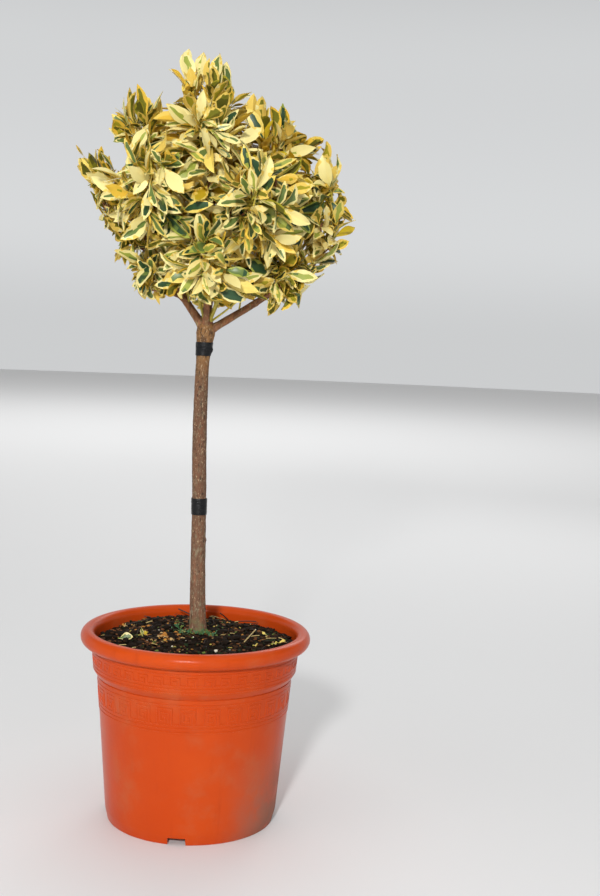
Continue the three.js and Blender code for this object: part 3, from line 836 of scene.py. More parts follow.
# %% Crumbs and chips
CRUMB_KINDS = [
    # name, colour, share of all, smallest and largest size in mm, flatness
    ("peat", (0.009, 0.005, 0.0025), 0.42, (1.2, 4.2), 0.7),
    ("peat lump", (0.013, 0.0075, 0.004), 0.07, (4.5, 9), 0.7),
    ("moss", (0.018, 0.032, 0.01), 0.12, (1.4, 4.4), 0.6),
    ("brown crumb", (0.05, 0.022, 0.009), 0.24, (1.4, 4.8), 0.6),
    ("bark chip", (0.17, 0.065, 0.022), 0.13, (1.6, 5.4), 0.4),
    ("orange chip", (0.52, 0.22, 0.04), 0.038, (1.6, 4.8), 0.45),
    ("tan chip", (0.6, 0.4, 0.17), 0.034, (1.4, 4.6), 0.5),
    ("straw crumb", (0.58, 0.44, 0.1), 0.02, (1.2, 3.6), 0.4),
    ("perlite", (0.8, 0.74, 0.58), 0.008, (1.4, 2.6), 0.8),
    ("green bit", (0.14, 0.2, 0.04), 0.033, (1.4, 4.6), 0.35),
]
CRUMB_COUNT = 2600
CRUMB_EDGE = 3
CRUMB_FROM_STEM = 12
CHIP_PATCH = (Vector((-33, -23)), 17)
PATCH_SHARE = 0.42
UNEVEN = (0.75, 1.2)
LENGTHS = (1.0, 1.9)
TIPPED = 0.5
PROUD = 0.15


def crumb_place(rng, kind):
    """A place on the compost, nearer the patch of chips for the brighter kinds."""
    middle, width = CHIP_PATCH
    if kind in ("orange chip", "tan chip") and rng.random() < PATCH_SHARE:
        return rng.gauss(middle.x, width / 2), rng.gauss(middle.y, width / 2)
    radius = (SOIL_RADIUS - CRUMB_EDGE) * math.sqrt(rng.random())
    turn = rng.uniform(0, math.tau)
    return radius * math.cos(turn), radius * math.sin(turn)


bm = bmesh.new()
bmesh.ops.create_icosphere(bm, subdivisions=1, radius=0.5)
crumb_template = Template(bm)
print("faces of a crumb:", len(crumb_template.faces))

# %% Laying the crumbs
def crumb_corners(x, y, size, flatness, rng):
    """Corners of one squashed, turned crumb that is half sunk in the compost, in metres."""
    uneven = np.array([rng.uniform(*UNEVEN) for _ in crumb_template.corners])
    stretch = np.array([rng.uniform(*LENGTHS), 1, flatness]) * size
    turn = Matrix.Rotation(rng.uniform(0, math.tau), 3, "Z")
    turn = turn @ Matrix.Rotation(rng.uniform(-TIPPED, TIPPED), 3, "X")
    corners = (crumb_template.corners * uneven[:, None] * stretch) @ np.array(turn).T
    return (corners + np.array([x, y, soil_height(x, y) + size * PROUD])) * MM


rng = random.Random(4)
crumbs = Bundle()
crumb_materials = []
for slot_index, (kind, colour, share, sizes, flatness) in enumerate(CRUMB_KINDS):
    crumb_materials.append(plain_material(kind, colour, 0.85, Specular_IOR_Level=0.15))
    for _ in range(round(CRUMB_COUNT * share)):
        x, y = crumb_place(rng, kind)
        if CRUMB_FROM_STEM < math.hypot(x, y) < SOIL_RADIUS - CRUMB_EDGE:
            corners = crumb_corners(x, y, rng.uniform(*sizes), flatness, rng)
            crumbs.add(crumb_template, corners, slot_index)
finish_piece("crumbs", crumbs.mesh("crumbs"), crumb_materials, crease=60)

# %% [markdown]
# ## Bark
# The stem's bark is reddish brown with grey and green specks and short upright cracks. The cracks are cut
# into the mesh: a noise that is stretched along the stem pushes each point of a fine tube in or out by a
# fraction of a millimetre. Old boughs have the same bark with finer cracks, and the young shoots are
# smooth and yellow-green.

# %% Sizes of the stem
TRUNK_STATIONS = [
    # height, sideways place, radius
    (208.3, 1.8, 9.4),
    (245, 0.4, 8.95),
    (300, -0.9, 8.3),
    (362, -1.8, 8.0),
    (423, -3.6, 8.1),
    (480, -3.9, 7.6),
    (520, -3.1, 7.4),
    (540, -1.8, 8.9),
    (551, -0.9, 10.5),
    (566, -0.8, 8.6),
]
ROOT_FLARE = 1.6
ROOT_FLARE_HEIGHT = 9
CROWN_OF_STEM = 557
STATION_HEIGHTS, _, STATION_RADII = zip(*TRUNK_STATIONS)
trunk_path = through([Vector((x, 0, height)) * MM for height, x, _ in TRUNK_STATIONS])


def trunk_radius(height):
    """Radius of the stem at a height, both in mm."""
    flare = ROOT_FLARE * math.exp(-(height - GROUND) / ROOT_FLARE_HEIGHT)
    return float(np.interp(height, STATION_HEIGHTS, STATION_RADII)) + flare


print("the stem is", round(trunk_path.length / MM), "mm long")

# %% [markdown]
# Two reliefs shape the bark. The cracks come from one noise at three sizes: a broad one that swells, a
# thin one whose zero lines are the cracks, and a fine grain. The bud scars are low round warts where the
# photograph shows them.

# %% Relief of the bark
CRACK_WIDTH = 1.7
CRACK_LENGTH = 11
CRACK_NOISES = [
    # how much finer, and the place in the noise
    (1.0, (0, 0, 0)),
    (2.3, (9, 4, 2)),
    (5.0, (1, 7, 5)),
]
SWELL = 0.55
CRACK_REACH = 0.16
CRACK_SINK = 2.8
GRAIN_RISE = 0.3
STEM_RADIUS = 8
SCAR_WIDTH = 1.6
SCAR_HEIGHT = 2.1
BUD_SCARS = [
    # height, turn round the stem in degrees, size
    (507, 186, 2.1),
    (470, 20, 1.3),
    (449, 186, 2.0),
    (440, 190, 1.4),
    (424, 95, 1.3),
    (375, 192, 1.5),
    (339, 176, 1.4),
    (318, 330, 1.2),
    (281, 200, 1.2),
    (262, 12, 1.1),
]


def cracks(turn, height, radius, depth):
    """How far bark stands out at a point, in mm: cracks run along the wood and break off."""
    across = [math.cos(turn) * radius / CRACK_WIDTH, math.sin(turn) * radius / CRACK_WIDTH]
    spot = Vector((*across, height / CRACK_LENGTH))
    broad, thin, grain = [noise.noise(spot * finer + Vector(place)) for finer, place in CRACK_NOISES]
    return depth * (SWELL * broad - CRACK_SINK * max(0, CRACK_REACH - abs(thin)) + GRAIN_RISE * grain)


def scar(turn, height):
    """Old bud scars: low round warts on the stem."""
    out = 0
    for middle, degrees, size in BUD_SCARS:
        beside = math.remainder(turn - math.radians(degrees), math.tau) * STEM_RADIUS
        out += size * math.exp(-((beside / SCAR_WIDTH) ** 2) - ((height - middle) / SCAR_HEIGHT) ** 2)
    return out


print("bud scars:", len(BUD_SCARS))

# %% The stem
TRUNK_SIDES = 76
TRUNK_RING = 1.15
CRACK_DEPTH = 0.55
DOME_LEAST = 0.02
BELOW_GROUND = 1

trunk_rings = round(trunk_path.length / MM / TRUNK_RING)
ring_heights = trunk_path.places(np.arange(trunk_rings + 1) / trunk_rings)[:, 2] / MM
dome_shares = np.clip((ring_heights - CROWN_OF_STEM) / (TRUNK_STATIONS[-1][0] + 1 - CROWN_OF_STEM), 0, 1)
domes = np.sqrt(np.maximum(1 - dome_shares**2, DOME_LEAST))
trunk_radii = [trunk_radius(height) * dome * MM for height, dome in zip(ring_heights, domes)]


def trunk_relief(ring, turn):
    height = ring_heights[ring]
    return (cracks(turn, height, STEM_RADIUS, CRACK_DEPTH) + scar(turn, height)) * MM


stem = Bundle()
stem.add(*sweep(trunk_path, trunk_radii, TRUNK_SIDES, trunk_rings, trunk_relief))
bm = bmesh.new()
bm.from_mesh(stem.mesh("stem"))
everything = [*bm.verts, *bm.edges, *bm.faces]
level = {"plane_co": (0, 0, (GROUND - BELOW_GROUND) * MM), "plane_no": (0, 0, -1)}
below = bmesh.ops.bisect_plane(bm, geom=everything, clear_outer=True, **level)
bmesh.ops.holes_fill(bm, edges=only(bmesh.types.BMEdge, below["geom_cut"]), sides=0)
print("rings of the stem:", trunk_rings)

# %% [markdown]
# The bark's colour is layered like the plastic's, with blotches drawn out along the wood. The stem has
# more layers than the boughs: it is browner over its upper half and orange below the fork, with dark
# patches, pale and dark specks, and a green bloom of algae at the foot. Ramps along Z say where each
# begins.

# %% Bark material
GRAIN = (1, 1, 0.16)
SPECKS = (1, 1, 0.45)


def bark_finish(name, base, warm, grey, crack):
    """Bark in four layers: base, warm streaks, grey-green specks and dark cracks."""
    finish = Finish(name, base, 0.82)
    finish.layer(finish.mask(150, 0.42, 0.66, GRAIN), warm)
    finish.layer(finish.mask(330, 0.52, 0.66, SPECKS), grey)
    finish.layer(finish.mask(240, 0.6, 0.72, GRAIN), crack)
    finish.bump(finish.mask(520, 0.3, 0.7, (1, 1, 0.3)), 0.25 * MM)
    return finish


stem_bark = bark_finish(
    "stem bark",
    base=(0.165, 0.083, 0.045),
    warm=(0.24, 0.1, 0.05),
    grey=(0.25, 0.2, 0.12),
    crack=(0.04, 0.022, 0.012),
)
browner = stem_bark.times(stem_bark.ramp("Z", 0.27, 0.36), 0.5)
stem_bark.layer(browner, (0.1, 0.04, 0.016))
orange_top = stem_bark.times(stem_bark.ramp("Z", 0.48, 0.54), 0.6)
stem_bark.layer(orange_top, (0.3, 0.14, 0.032))
dark_patches = stem_bark.times(stem_bark.ramp("Z", 0.46, 0.54), stem_bark.mask(150, 0.5, 0.62, (1, 1, 0.6)))
stem_bark.layer(dark_patches, (0.1, 0.045, 0.014))
stem_bark.layer(stem_bark.mask(640, 0.56, 0.66, SPECKS), (0.4, 0.29, 0.17))
stem_bark.layer(stem_bark.mask(480, 0.575, 0.66, (1, 1, 0.4)), (0.035, 0.018, 0.009))
green_foot = stem_bark.times(stem_bark.ramp("Z", 0.24, 0.212), stem_bark.mask(120, 0.4, 0.6))
stem_bark.layer(green_foot, (0.16, 0.17, 0.07))
finish_piece("stem_bark", mesh_of(bm, "stem_bark"), [stem_bark.material], ["trunk"], crease=80)

# %% [markdown]
# ## Boughs and branches
# Each limb is one tapering sweep from inside its parent to the place where its foliage begins. A tree
# thickens where a limb leaves it, so the root of each one swells into a collar, and the joints need no
# filler.

# %% The limbs
LIMBS = {
    # name: parent, share of the parent's length, a point on the way, the tip, root and tip radius
    "bough_centre": ("trunk", 0.985, (3, 4, 640), (-4, 3, 722), (5.2, 2.8)),
    "bough_left": ("trunk", 0.965, (-30, 0, 594), (-78, -5, 662), (5, 2.4)),
    "bough_right": ("trunk", 0.96, (56, 0, 588.5), (116, 0, 632), (4.6, 2.6)),
    "bough_back": ("trunk", 0.965, (1, 20, 584), (4, 48, 610), (4.4, 2.6)),
    "bough_front": ("trunk", 0.965, (1, -20, 584), (4, -46, 612), (4, 2.4)),
    "shoot_upright": ("trunk", 0.97, (15, -16, 602), (2, -48, 706), (2.4, 1.7)),
    "branch_upper_left": ("bough_centre", 0.35, (-24, 0, 668), (-54, -4, 708), (3, 1.9)),
    "branch_upper_right": ("bough_centre", 0.45, (24, 0, 674), (48, -4, 706), (3, 1.9)),
    "branch_upper_back": ("bough_centre", 0.5, (0, 28, 682), (0, 50, 706), (2.8, 1.8)),
    "branch_lower_left": ("bough_left", 0.3, (-32, -12, 591), (-42, -22, 593), (2.6, 1.8)),
    "branch_lower_right": ("bough_right", 0.45, (64, -12, 594), (74, -22, 598), (2.6, 1.8)),
    "branch_front_left": ("bough_front", 0.6, (-18, -44, 632), (-40, -60, 664), (2.7, 1.8)),
    "branch_front_right": ("bough_front", 0.66, (24, -44, 634), (42, -60, 662), (2.7, 1.8)),
    "branch_back_left": ("bough_back", 0.6, (-18, 46, 630), (-40, 62, 664), (2.7, 1.8)),
    "branch_back_right": ("bough_back", 0.66, (24, 46, 632), (42, 60, 662), (2.7, 1.8)),
}
limb_paths = {"trunk": trunk_path}
for name, (parent, share, via, tip, _) in LIMBS.items():
    limb_paths[name] = through([limb_paths[parent].at(share), Vector(via) * MM, Vector(tip) * MM])
print("limbs:", len(LIMBS))

# %% Bark on the limbs
COLLAR_SWELL = 0.55
COLLAR_LENGTH = 9
LIMB_SIDES = 22
LIMB_RING = 1.3
OLD_RELIEF = 0.36
YOUNG_RELIEF = 0.08


def add_limb(bundle, name, slot_index, depth):
    """Adds a limb with a swollen root and fine cracks."""
    path = limb_paths[name]
    root_radius, tip_radius = LIMBS[name][4]
    rings = round(path.length / MM / LIMB_RING)
    run = np.arange(rings + 1) / rings * path.length / MM
    plain = np.linspace(root_radius, tip_radius, rings + 1)
    radii = plain * (1 + COLLAR_SWELL * np.exp(-((run / COLLAR_LENGTH) ** 2))) * MM

    def relief(ring, turn):
        return cracks(turn, run[ring], root_radius, depth) * MM

    bundle.add(*sweep(path, radii, LIMB_SIDES, rings, relief), slot_index)


bough_bark = bark_finish(
    "bough bark",
    base=(0.2, 0.085, 0.036),
    warm=(0.36, 0.15, 0.06),
    grey=(0.3, 0.22, 0.1),
    crack=(0.05, 0.024, 0.014),
)
young_bark = Finish("young bark", (0.46, 0.39, 0.045), 0.5)
young_bark.layer(young_bark.mask(90, 0.4, 0.65, GRAIN), (0.64, 0.5, 0.07))
young_bark.layer(young_bark.mask(300, 0.6, 0.75, GRAIN), (0.24, 0.15, 0.05))
wood_materials = [bough_bark.material, young_bark.material]
boughs = Bundle()
for name in LIMBS:
    young = name == "shoot_upright"
    add_limb(boughs, name, int(young), YOUNG_RELIEF if young else OLD_RELIEF)
bough_mesh = boughs.mesh("bough_bark")
finish_piece("bough_bark", bough_mesh, wood_materials, list(LIMBS), crease=80)

# %% [markdown]
# ## Tape
# Two bands of black tape are wound round the stem. Each band is a thin sleeve that follows the stem's own
# width. Tape lies in turns, so shallow steps run round it, and the upper band ends in a small crumpled
# fold on the right.

# %% The bands
TAPES = {
    # name: middle height, band height, the places of its turns as shares, fold or not
    "tape_lower": (356.5, 18.6, (0.3, 0.72), False),
    "tape_upper": (533.5, 15.2, (0.45,), True),
}
TAPE_SIDES = 64
TAPE_CUTS = 22
TAPE_OUT = 0.75
TURN_STEP = 0.13
TURN_SLANT = 0.05
WRINKLE = 0.14
SOFT_EDGE = 0.25
SOFT_EDGE_HEIGHT = 0.5
INNER_SHARE = 0.8
FOLD_TURN = -0.35
FOLD_WIDTH = 0.3
FOLD_LUMPS = [
    # rise in mm, shift round the stem, middle and reach as shares of the band
    (2.0, 0, 0.42, 0.22),
    (0.9, 1.1, 0.8, 0.12),
]


def stem_middle(z):
    """Where the stem's middle is at a height, both in metres."""
    return float(np.interp(z, trunk_path.points[:, 2], trunk_path.points[:, 0]))


def tape_out(share, turn, at, height, turns, folded):
    """How far the tape lies from the stem's middle, in mm."""
    layers = sum(1 for step in turns if share + TURN_SLANT * math.sin(turn) > step)
    wrinkle = WRINKLE * noise.noise(Vector((math.cos(turn) * 2, math.sin(turn) * 2, at / 3)))
    edge = SOFT_EDGE * (1 - min(min(share, 1 - share) * height / SOFT_EDGE_HEIGHT, 1))
    out = trunk_radius(at) + TAPE_OUT + TURN_STEP * layers + wrinkle - edge
    if folded:
        beside = math.remainder(turn - FOLD_TURN, math.tau) / FOLD_WIDTH
        for rise, shift, middle, reach in FOLD_LUMPS:
            out += rise * math.exp(-((beside + shift) ** 2) - ((share - middle) / reach) ** 2)
    return out


def tape_band(middle, height, turns, folded):
    """A sleeve with the steps of its windings, closed on the inside."""
    bm = bmesh.new()
    bmesh.ops.create_cone(bm, segments=TAPE_SIDES, radius1=1, radius2=1, depth=1)
    bmesh.ops.subdivide_edges(bm, edges=upright_edges(bm), cuts=TAPE_CUTS)
    for vert in bm.verts:
        share = min(max(vert.co.z + 0.5, 0), 1)
        at = middle - height / 2 + height * share
        turn = math.atan2(vert.co.y, vert.co.x)
        out = tape_out(share, turn, at, height, turns, folded)
        place = (stem_middle(at * MM) / MM + out * math.cos(turn), out * math.sin(turn), at)
        vert.co = Vector(place) * MM
    grown = bmesh.ops.extrude_edge_only(bm, edges=[edge for edge in bm.edges if edge.is_boundary])["geom"]
    for vert in only(bmesh.types.BMVert, grown):
        axis = Vector((stem_middle(vert.co.z), 0, vert.co.z))
        vert.co = axis + (vert.co - axis) * INNER_SHARE
    bmesh.ops.holes_fill(bm, edges=[edge for edge in bm.edges if edge.is_boundary], sides=0)
    bmesh.ops.recalc_face_normals(bm, faces=bm.faces)
    return bm


tape_finish = Finish("black tape", (0.005, 0.005, 0.006), 0.28, Specular_IOR_Level=0.28)
tape_finish.roughen(tape_finish.mask(130, 0.35, 0.65, (1, 1, 3)), 0.2, 0.42)
tape_finish.bump(tape_finish.mask(240, 0.3, 0.7, (1, 1, 3)), 0.12 * MM)
for name, details in TAPES.items():
    band = name + "_band"
    finish_piece(band, mesh_of(tape_band(*details), band), [tape_finish.material], [name], crease=50)

# %% [markdown]
# ## One leaf
# The leaves are elliptic with a blunt tip, a green middle and an uneven cream edge. They are glossy,
# folded a little along the midrib, and curl back towards the tip. There are over two thousand, so one leaf
# may only have a few dozen faces. It is a flat tube of eight lines: the two edges, the midrib and the two
# borders between green and cream above, and the same three below. The borders wander from leaf to leaf, so
# no two leaves have one pattern, and each face takes its colour from the zone in which it lies.

# %% The leaf's template
LEAF_LINES = 8
LEAF_ROWS = [0.0, 0.1, 0.19, 0.32, 0.46, 0.6, 0.74, 0.88, 1.0]
ACROSS = np.array([1, 0.5, 0, -0.5, -1, -0.5, 0, 0.5])
BORDER_LINES = np.array([0, 1, 0, 1, 0, 1, 0, 1])
UPPER = np.array([0, 1, 1, 1, 0, -1, -1, -1])
MIDDLE_LINES = {2, 6}
UNDER_LINES = {5, 6, 7}
BLADE_START = 3

leaf_template = tube_template(LEAF_LINES, len(LEAF_ROWS) - 1)
leaf_row = np.rint(leaf_template.corners[:, 2] * (len(LEAF_ROWS) - 1)).astype(int)
leaf_turn = np.arctan2(leaf_template.corners[:, 1], leaf_template.corners[:, 0])
leaf_line = np.rint(leaf_turn / math.tau * LEAF_LINES).astype(int) % LEAF_LINES


def face_zone(face):
    """Where a face lies: its row, whether it is in the middle, and whether it is on the underside."""
    lines = {int(leaf_line[corner]) for corner in face}
    row = min(int(leaf_row[corner]) for corner in face)
    in_middle = bool(lines & MIDDLE_LINES)
    under = bool(lines & UNDER_LINES) and len(lines) == 2
    return row, in_middle, under


LEAF_ZONES = [face_zone(face) for face in leaf_template.faces]
BLADE_FACES = [face for face, (row, _, _) in zip(leaf_template.faces, LEAF_ZONES) if row >= BLADE_START]
print("a leaf has", len(leaf_template.faces), "faces")

# %% [markdown]
# A leaf's outline is a power of a sine, which gives a blunt tip and a tapered base. Fold, curl, twist and
# a wave in the edge are drawn at random for each leaf, within what the photograph shows.

# %% The leaf's shape
STALK_SHARE = 0.1
STALK_WIDTH = 1.3
TIP_WIDTH = 0.5
BLUNTNESS = 0.86
WIDEST = 1.12
LEAF_THICKNESS = 0.4
BORDER_WANDER = 0.17
BORDER_LIMITS = (0.12, 0.88)
FOLDS = (-0.12, 0.75)
WAVE_HEIGHTS = (0.2, 1.3)
WAVE_COUNTS = (1.0, 2.2)
TWIST = 0.16
BOW_POWER = 1.4
STRAIGHT = 1e-3
BLADE_EASE = 6
ROW_EASE = 0.01


def leaf_shape(rng, length, width, border, curl):
    """Corners of a leaf in mm: X across, Y along, Z up from its upper face."""
    rows = np.array(LEAF_ROWS)
    blade = np.clip((rows - STALK_SHARE) / (1 - STALK_SHARE), 0, 1)
    half = width / 2 * np.sin(math.pi * blade**WIDEST).clip(0) ** BLUNTNESS
    half = np.maximum(half, np.where(blade > 0.5, TIP_WIDTH, STALK_WIDTH) / 2)
    wander = np.array([[rng.gauss(border, BORDER_WANDER) for _ in range(LEAF_LINES)] for _ in rows])
    wander = wander.clip(*BORDER_LIMITS)
    share = np.where(BORDER_LINES == 1, np.sign(ACROSS) * wander, ACROSS)[leaf_row, leaf_line]
    across = share * half[leaf_row]
    thick = np.where(rows < STALK_SHARE + ROW_EASE, STALK_WIDTH, LEAF_THICKNESS) / 2
    fold = rng.uniform(*FOLDS)
    wave = rng.uniform(*WAVE_HEIGHTS)
    phase = rng.uniform(0, math.tau)
    turns = rng.uniform(*WAVE_COUNTS)
    row = rows[leaf_row]
    on_blade = np.minimum(blade * BLADE_EASE, 1)[leaf_row]
    up = UPPER[leaf_line] * thick[leaf_row] + on_blade * fold * np.abs(across)
    up = up + on_blade * share * np.abs(share) * wave * np.sin(phase + math.tau * turns * row)
    twist = rng.gauss(0, TWIST) * row
    across, up = across * np.cos(twist) - up * np.sin(twist), across * np.sin(twist) + up * np.cos(twist)
    bow = -curl * row**BOW_POWER
    lean = curl if abs(curl) > STRAIGHT else STRAIGHT
    along = np.sin(lean * row) / lean * length + up * np.sin(-bow)
    sink = (1 - np.cos(lean * row)) / lean * length
    return np.stack([across, np.where(row > 0, along, 0), up * np.cos(bow) - sink], axis=1)


sample = leaf_shape(random.Random(1), 40, 16, 0.5, 0.6)
print("a leaf's size, mm:", [round(float(value), 1) for value in np.ptp(sample, axis=0)])

# %% [markdown]
# ## Colours of the leaves
# Seen together, the sprays differ: some are mostly green with a thin cream edge, others nearly all cream,
# and the inner ones deep in the crown are given yellow and gold, a painted shade for the warm light that
# comes through and off the leaves there. Every shoot therefore draws a palette, and its leaves draw from
# that. The colours are plain ones on the shader itself, so any viewer shows them alike. The undersides are
# duller and paler, and tinted warm as a painted shade of the same golden light.

# %% Leaf colours
LEAF_COLOURS = {
    "dark green": (0.03, 0.075, 0.03),
    "mid green": (0.125, 0.185, 0.045),
    "light green": (0.33, 0.37, 0.06),
    "cream": (0.84, 0.73, 0.3),
    "pale yellow": (0.8, 0.62, 0.14),
    "gold": (0.56, 0.4, 0.02),
}
# Undersides are duller and paler, as real ones are; their warm tint and lift are also painted shade for
# light through the leaves.
UNDERSIDE_DULL_AND_SHADE_TINT = (0.88, 0.74, 0.4)
UNDERSIDE_PALE_AND_SHADE_LIFT = (0.08, 0.045, 0.0)
LEAF_ROUGHNESS = 0.36
LEAF_SHINE = 0.34
UNDERSIDE_ROUGHNESS = 0.6
UNDERSIDE_SHINE = 0.2

leaf_materials = []
for name, colour in LEAF_COLOURS.items():
    above = plain_material("leaf, " + name, colour, LEAF_ROUGHNESS, Specular_IOR_Level=LEAF_SHINE)
    leaf_materials.append(above)
for name, colour in LEAF_COLOURS.items():
    underside_colour = [channel * tint + lift for channel, tint, lift in zip(colour, UNDERSIDE_DULL_AND_SHADE_TINT, UNDERSIDE_PALE_AND_SHADE_LIFT)]
    label = "underside, " + name
    under = plain_material(label, underside_colour, UNDERSIDE_ROUGHNESS, Specular_IOR_Level=UNDERSIDE_SHINE)
    leaf_materials.append(under)
print("leaf materials:", len(leaf_materials))

# %% Palettes of the shoots
COLOUR_SLOTS = {name: index for index, name in enumerate(LEAF_COLOURS)}
UNDER_SHIFT = len(LEAF_COLOURS)
MOTTLE_CHANCE = 0.16
PALETTES = {
    # name: weight, colours of the middle, colours of the edge, mean place of the border between them
    "variegated": (
        0.44, ["dark green", "mid green", "mid green", "light green"], ["cream", "pale yellow"], 0.52
    ),
    "cream": (0.36, ["cream", "cream", "mid green", "light green"], ["cream"], 0.3),
    "yellow": (0.08, ["pale yellow", "light green", "pale yellow"], ["cream", "pale yellow"], 0.4),
    "green": (0.1, ["dark green", "mid green"], ["light green", "cream"], 0.72),
    "golden": (0.015, ["gold", "pale yellow"], ["pale yellow", "gold"], 0.5),
}


def leaf_slots(rng, palette):
    """The material of each face of a leaf."""
    _, middles, edges, _ = PALETTES[palette]
    middle = rng.choice(middles)
    edge = rng.choice(edges)
    patch = rng.choice(middles)
    slots = []
    for row, in_middle, under in LEAF_ZONES:
        colour = middle if in_middle else edge
        if row == 0:
            colour = "light green"
        elif in_middle and row == len(LEAF_ROWS) - 2:
            colour = edge
        elif in_middle and rng.random() < MOTTLE_CHANCE:
            colour = patch
        slots.append(COLOUR_SLOTS[colour] + UNDER_SHIFT * under)
    return slots


print("palettes:", len(PALETTES))

# %% [markdown]
# ## The crown's masses
# The crown is grown, not scattered. Each mass of foliage has one stem that goes on from its limb, a
# middle, a reach along each axis, and some tips that the photograph shows. Shoots start at joints along
# the stem and reach for those tips and for points spread evenly over the mass's surface. These are the
# numbers from which the solids grew too.

# %% The masses
MASSES = {
    # name: limb, seed, middle, reach, tips
    "leaves_top": (
        "bough_centre", 37, (-5, 0, 784), (48, 48, 80),
        [(-24, 2, 862), (16, -6, 847), (-36, -8, 826), (28, -10, 816), (-4, -30, 812)],
    ),
    "leaves_upper_left": (
        "branch_upper_left", 25, (-80, -6, 758), (44, 56, 60),
        [(-99, -8, 812), (-76, -4, 817), (-112, -10, 786)],
    ),
    "leaves_upper_right": (
        "branch_upper_right", 21, (76, -6, 758), (50, 56, 60),
        [(92, -6, 803), (46, -8, 815), (108, -14, 790)],
    ),
    "leaves_upper_front": (
        "shoot_upright", 32, (-4, -76, 752), (62, 54, 60),
        [(-4, -112, 720), (14, -70, 790)],
    ),
    "leaves_upper_back": ("branch_upper_back", 12, (0, 76, 752), (62, 54, 60), []),
    "leaves_left": (
        "bough_left", 15, (-116, -6, 712), (40, 54, 54),
        [(-128, -26, 664), (-136, 20, 748)],
    ),
    "leaves_front_left": (
        "branch_front_left", 38, (-54, -92, 702), (66, 54, 66),
        [(-12, -118, 700), (-30, -110, 660)],
    ),
    "leaves_front_right": (
        "branch_front_right", 2, (56, -90, 692), (68, 56, 66),
        [(18, -122, 696), (30, -112, 734)],
    ),
    "leaves_right": (
        "bough_right", 14, (112, 0, 704), (54, 58, 74),
        [(163, -4, 682), (138, 0, 764), (124, -20, 776)],
    ),
    "leaves_back_right": ("branch_back_right", 32, (58, 90, 692), (70, 56, 68), []),
    "leaves_back_left": ("branch_back_left", 30, (-56, 92, 700), (68, 54, 66), []),
    "leaves_lower_left": (
        "branch_lower_left", 33, (-66, -16, 622), (42, 60, 46),
        [(-102, -16, 630), (-78, -20, 584), (-42, -30, 582)],
    ),
    "leaves_lower_right": ("branch_lower_right", 4, (86, -10, 626), (50, 60, 50), [(101, -10, 577)]),
    "leaves_lower_front": ("bough_front", 7, (6, -80, 640), (64, 60, 54), [(-10, -60, 594)]),
    "leaves_lower_back": ("bough_back", 5, (6, 80, 638), (64, 60, 54), []),
}
print("masses:", len(MASSES))

# %% [markdown]
# Three rules keep the leaves in their place. Each one lies within the reach of some mass, or a little
# beyond. Seen from the camera it lies in the crown's outline, which was measured at 25 heights, and in
# none of the four notches where the wall shows. And it stays in the box of the part, so the dressed plant
# is no larger than its solids.

# %% Where a leaf may lie
LIMIT = 1.17
MIDDLES = np.array([middle for _, _, middle, _, _ in MASSES.values()])
REACHES = np.array([reach for _, _, _, reach, _ in MASSES.values()])


def depths(points):
    """How far out each point lies in each mass: 0 in its middle and 1 at its reach."""
    return np.linalg.norm((np.asarray(points)[:, None] - MIDDLES) / REACHES, axis=2)


def in_crown(points):
    """True where every point, in mm, lies near enough to some mass."""
    return bool(np.all(depths(points).min(axis=1) <= LIMIT))


CROWN_WIDTHS = [
    # height, left and right edge of the crown as the camera sees it, in the plane of the stem
    (578, -50, 103),
    (590, -79, 103),
    (602, -85, 106),
    (614, -86, 126),
    (626, -103, 138),
    (638, -104, 141),
    (650, -103, 153),
    (662, -117, 160),
    (674, -125, 168),
    (686, -126, 160),
    (698, -129, 151),
    (710, -136, 145),
    (722, -145, 142),
    (734, -151, 143),
    (746, -156, 142),
    (758, -150, 136),
    (770, -121, 130),
    (782, -118, 100),
    (794, -109, 88),
    (806, -99, 74),
    (818, -94, 48),
    (830, -62, 26),
    (842, -42, 34),
    (854, -38, 24),
    (866, -33, -6),
]
NOTCHES = [
    # middle and reach, in the same plane, of deep gaps where the wall shows
    ((-104, 741), (8, 13)),
    ((-48, 816), (8, 15)),
    ((29, 826), (8, 12)),
    ((101, 780), (9, 6)),
]
EDGE_HEIGHTS, LEFT_EDGE, RIGHT_EDGE = np.array(CROWN_WIDTHS, dtype=float).T
EDGE_EASE = 3


def in_outline(points):
    """True where every point, seen from the camera, lies in the crown's measured outline and in no notch."""
    eye = np.array(CAMERA_PLACE) / MM
    scale = -eye[1] / (points[:, 1] - eye[1])
    seen_x = eye[0] + (points[:, 0] - eye[0]) * scale
    seen_z = eye[2] + (points[:, 2] - eye[2]) * scale
    left = np.interp(seen_z, EDGE_HEIGHTS, LEFT_EDGE) - EDGE_EASE
    right = np.interp(seen_z, EDGE_HEIGHTS, RIGHT_EDGE) + EDGE_EASE
    clear = (seen_x > left) & (seen_x < right) & (seen_z < EDGE_HEIGHTS[-1] + EDGE_EASE)
    for (x, z), (reach_x, reach_z) in NOTCHES:
        clear &= ((seen_x - x) / reach_x) ** 2 + ((seen_z - z) / reach_z) ** 2 > 1
    return bool(np.all(clear))


BOX_LOW, BOX_HIGH = np.array([list(corner) for corner in cad_box]) / MM


def in_box(points):
    """True where every point lies in the box of the part."""
    return bool(np.all((points > BOX_LOW) & (points < BOX_HIGH)))


print("the box of the part, mm:", BOX_LOW.round(1), BOX_HIGH.round(1))

# %% [markdown]
# The solids are open in a few places where the picture is full: in front of the fork and in the tufts at
# the top. More tips for the masses and some shoots of their own fill them. Each starts on a limb, as the
# others do.

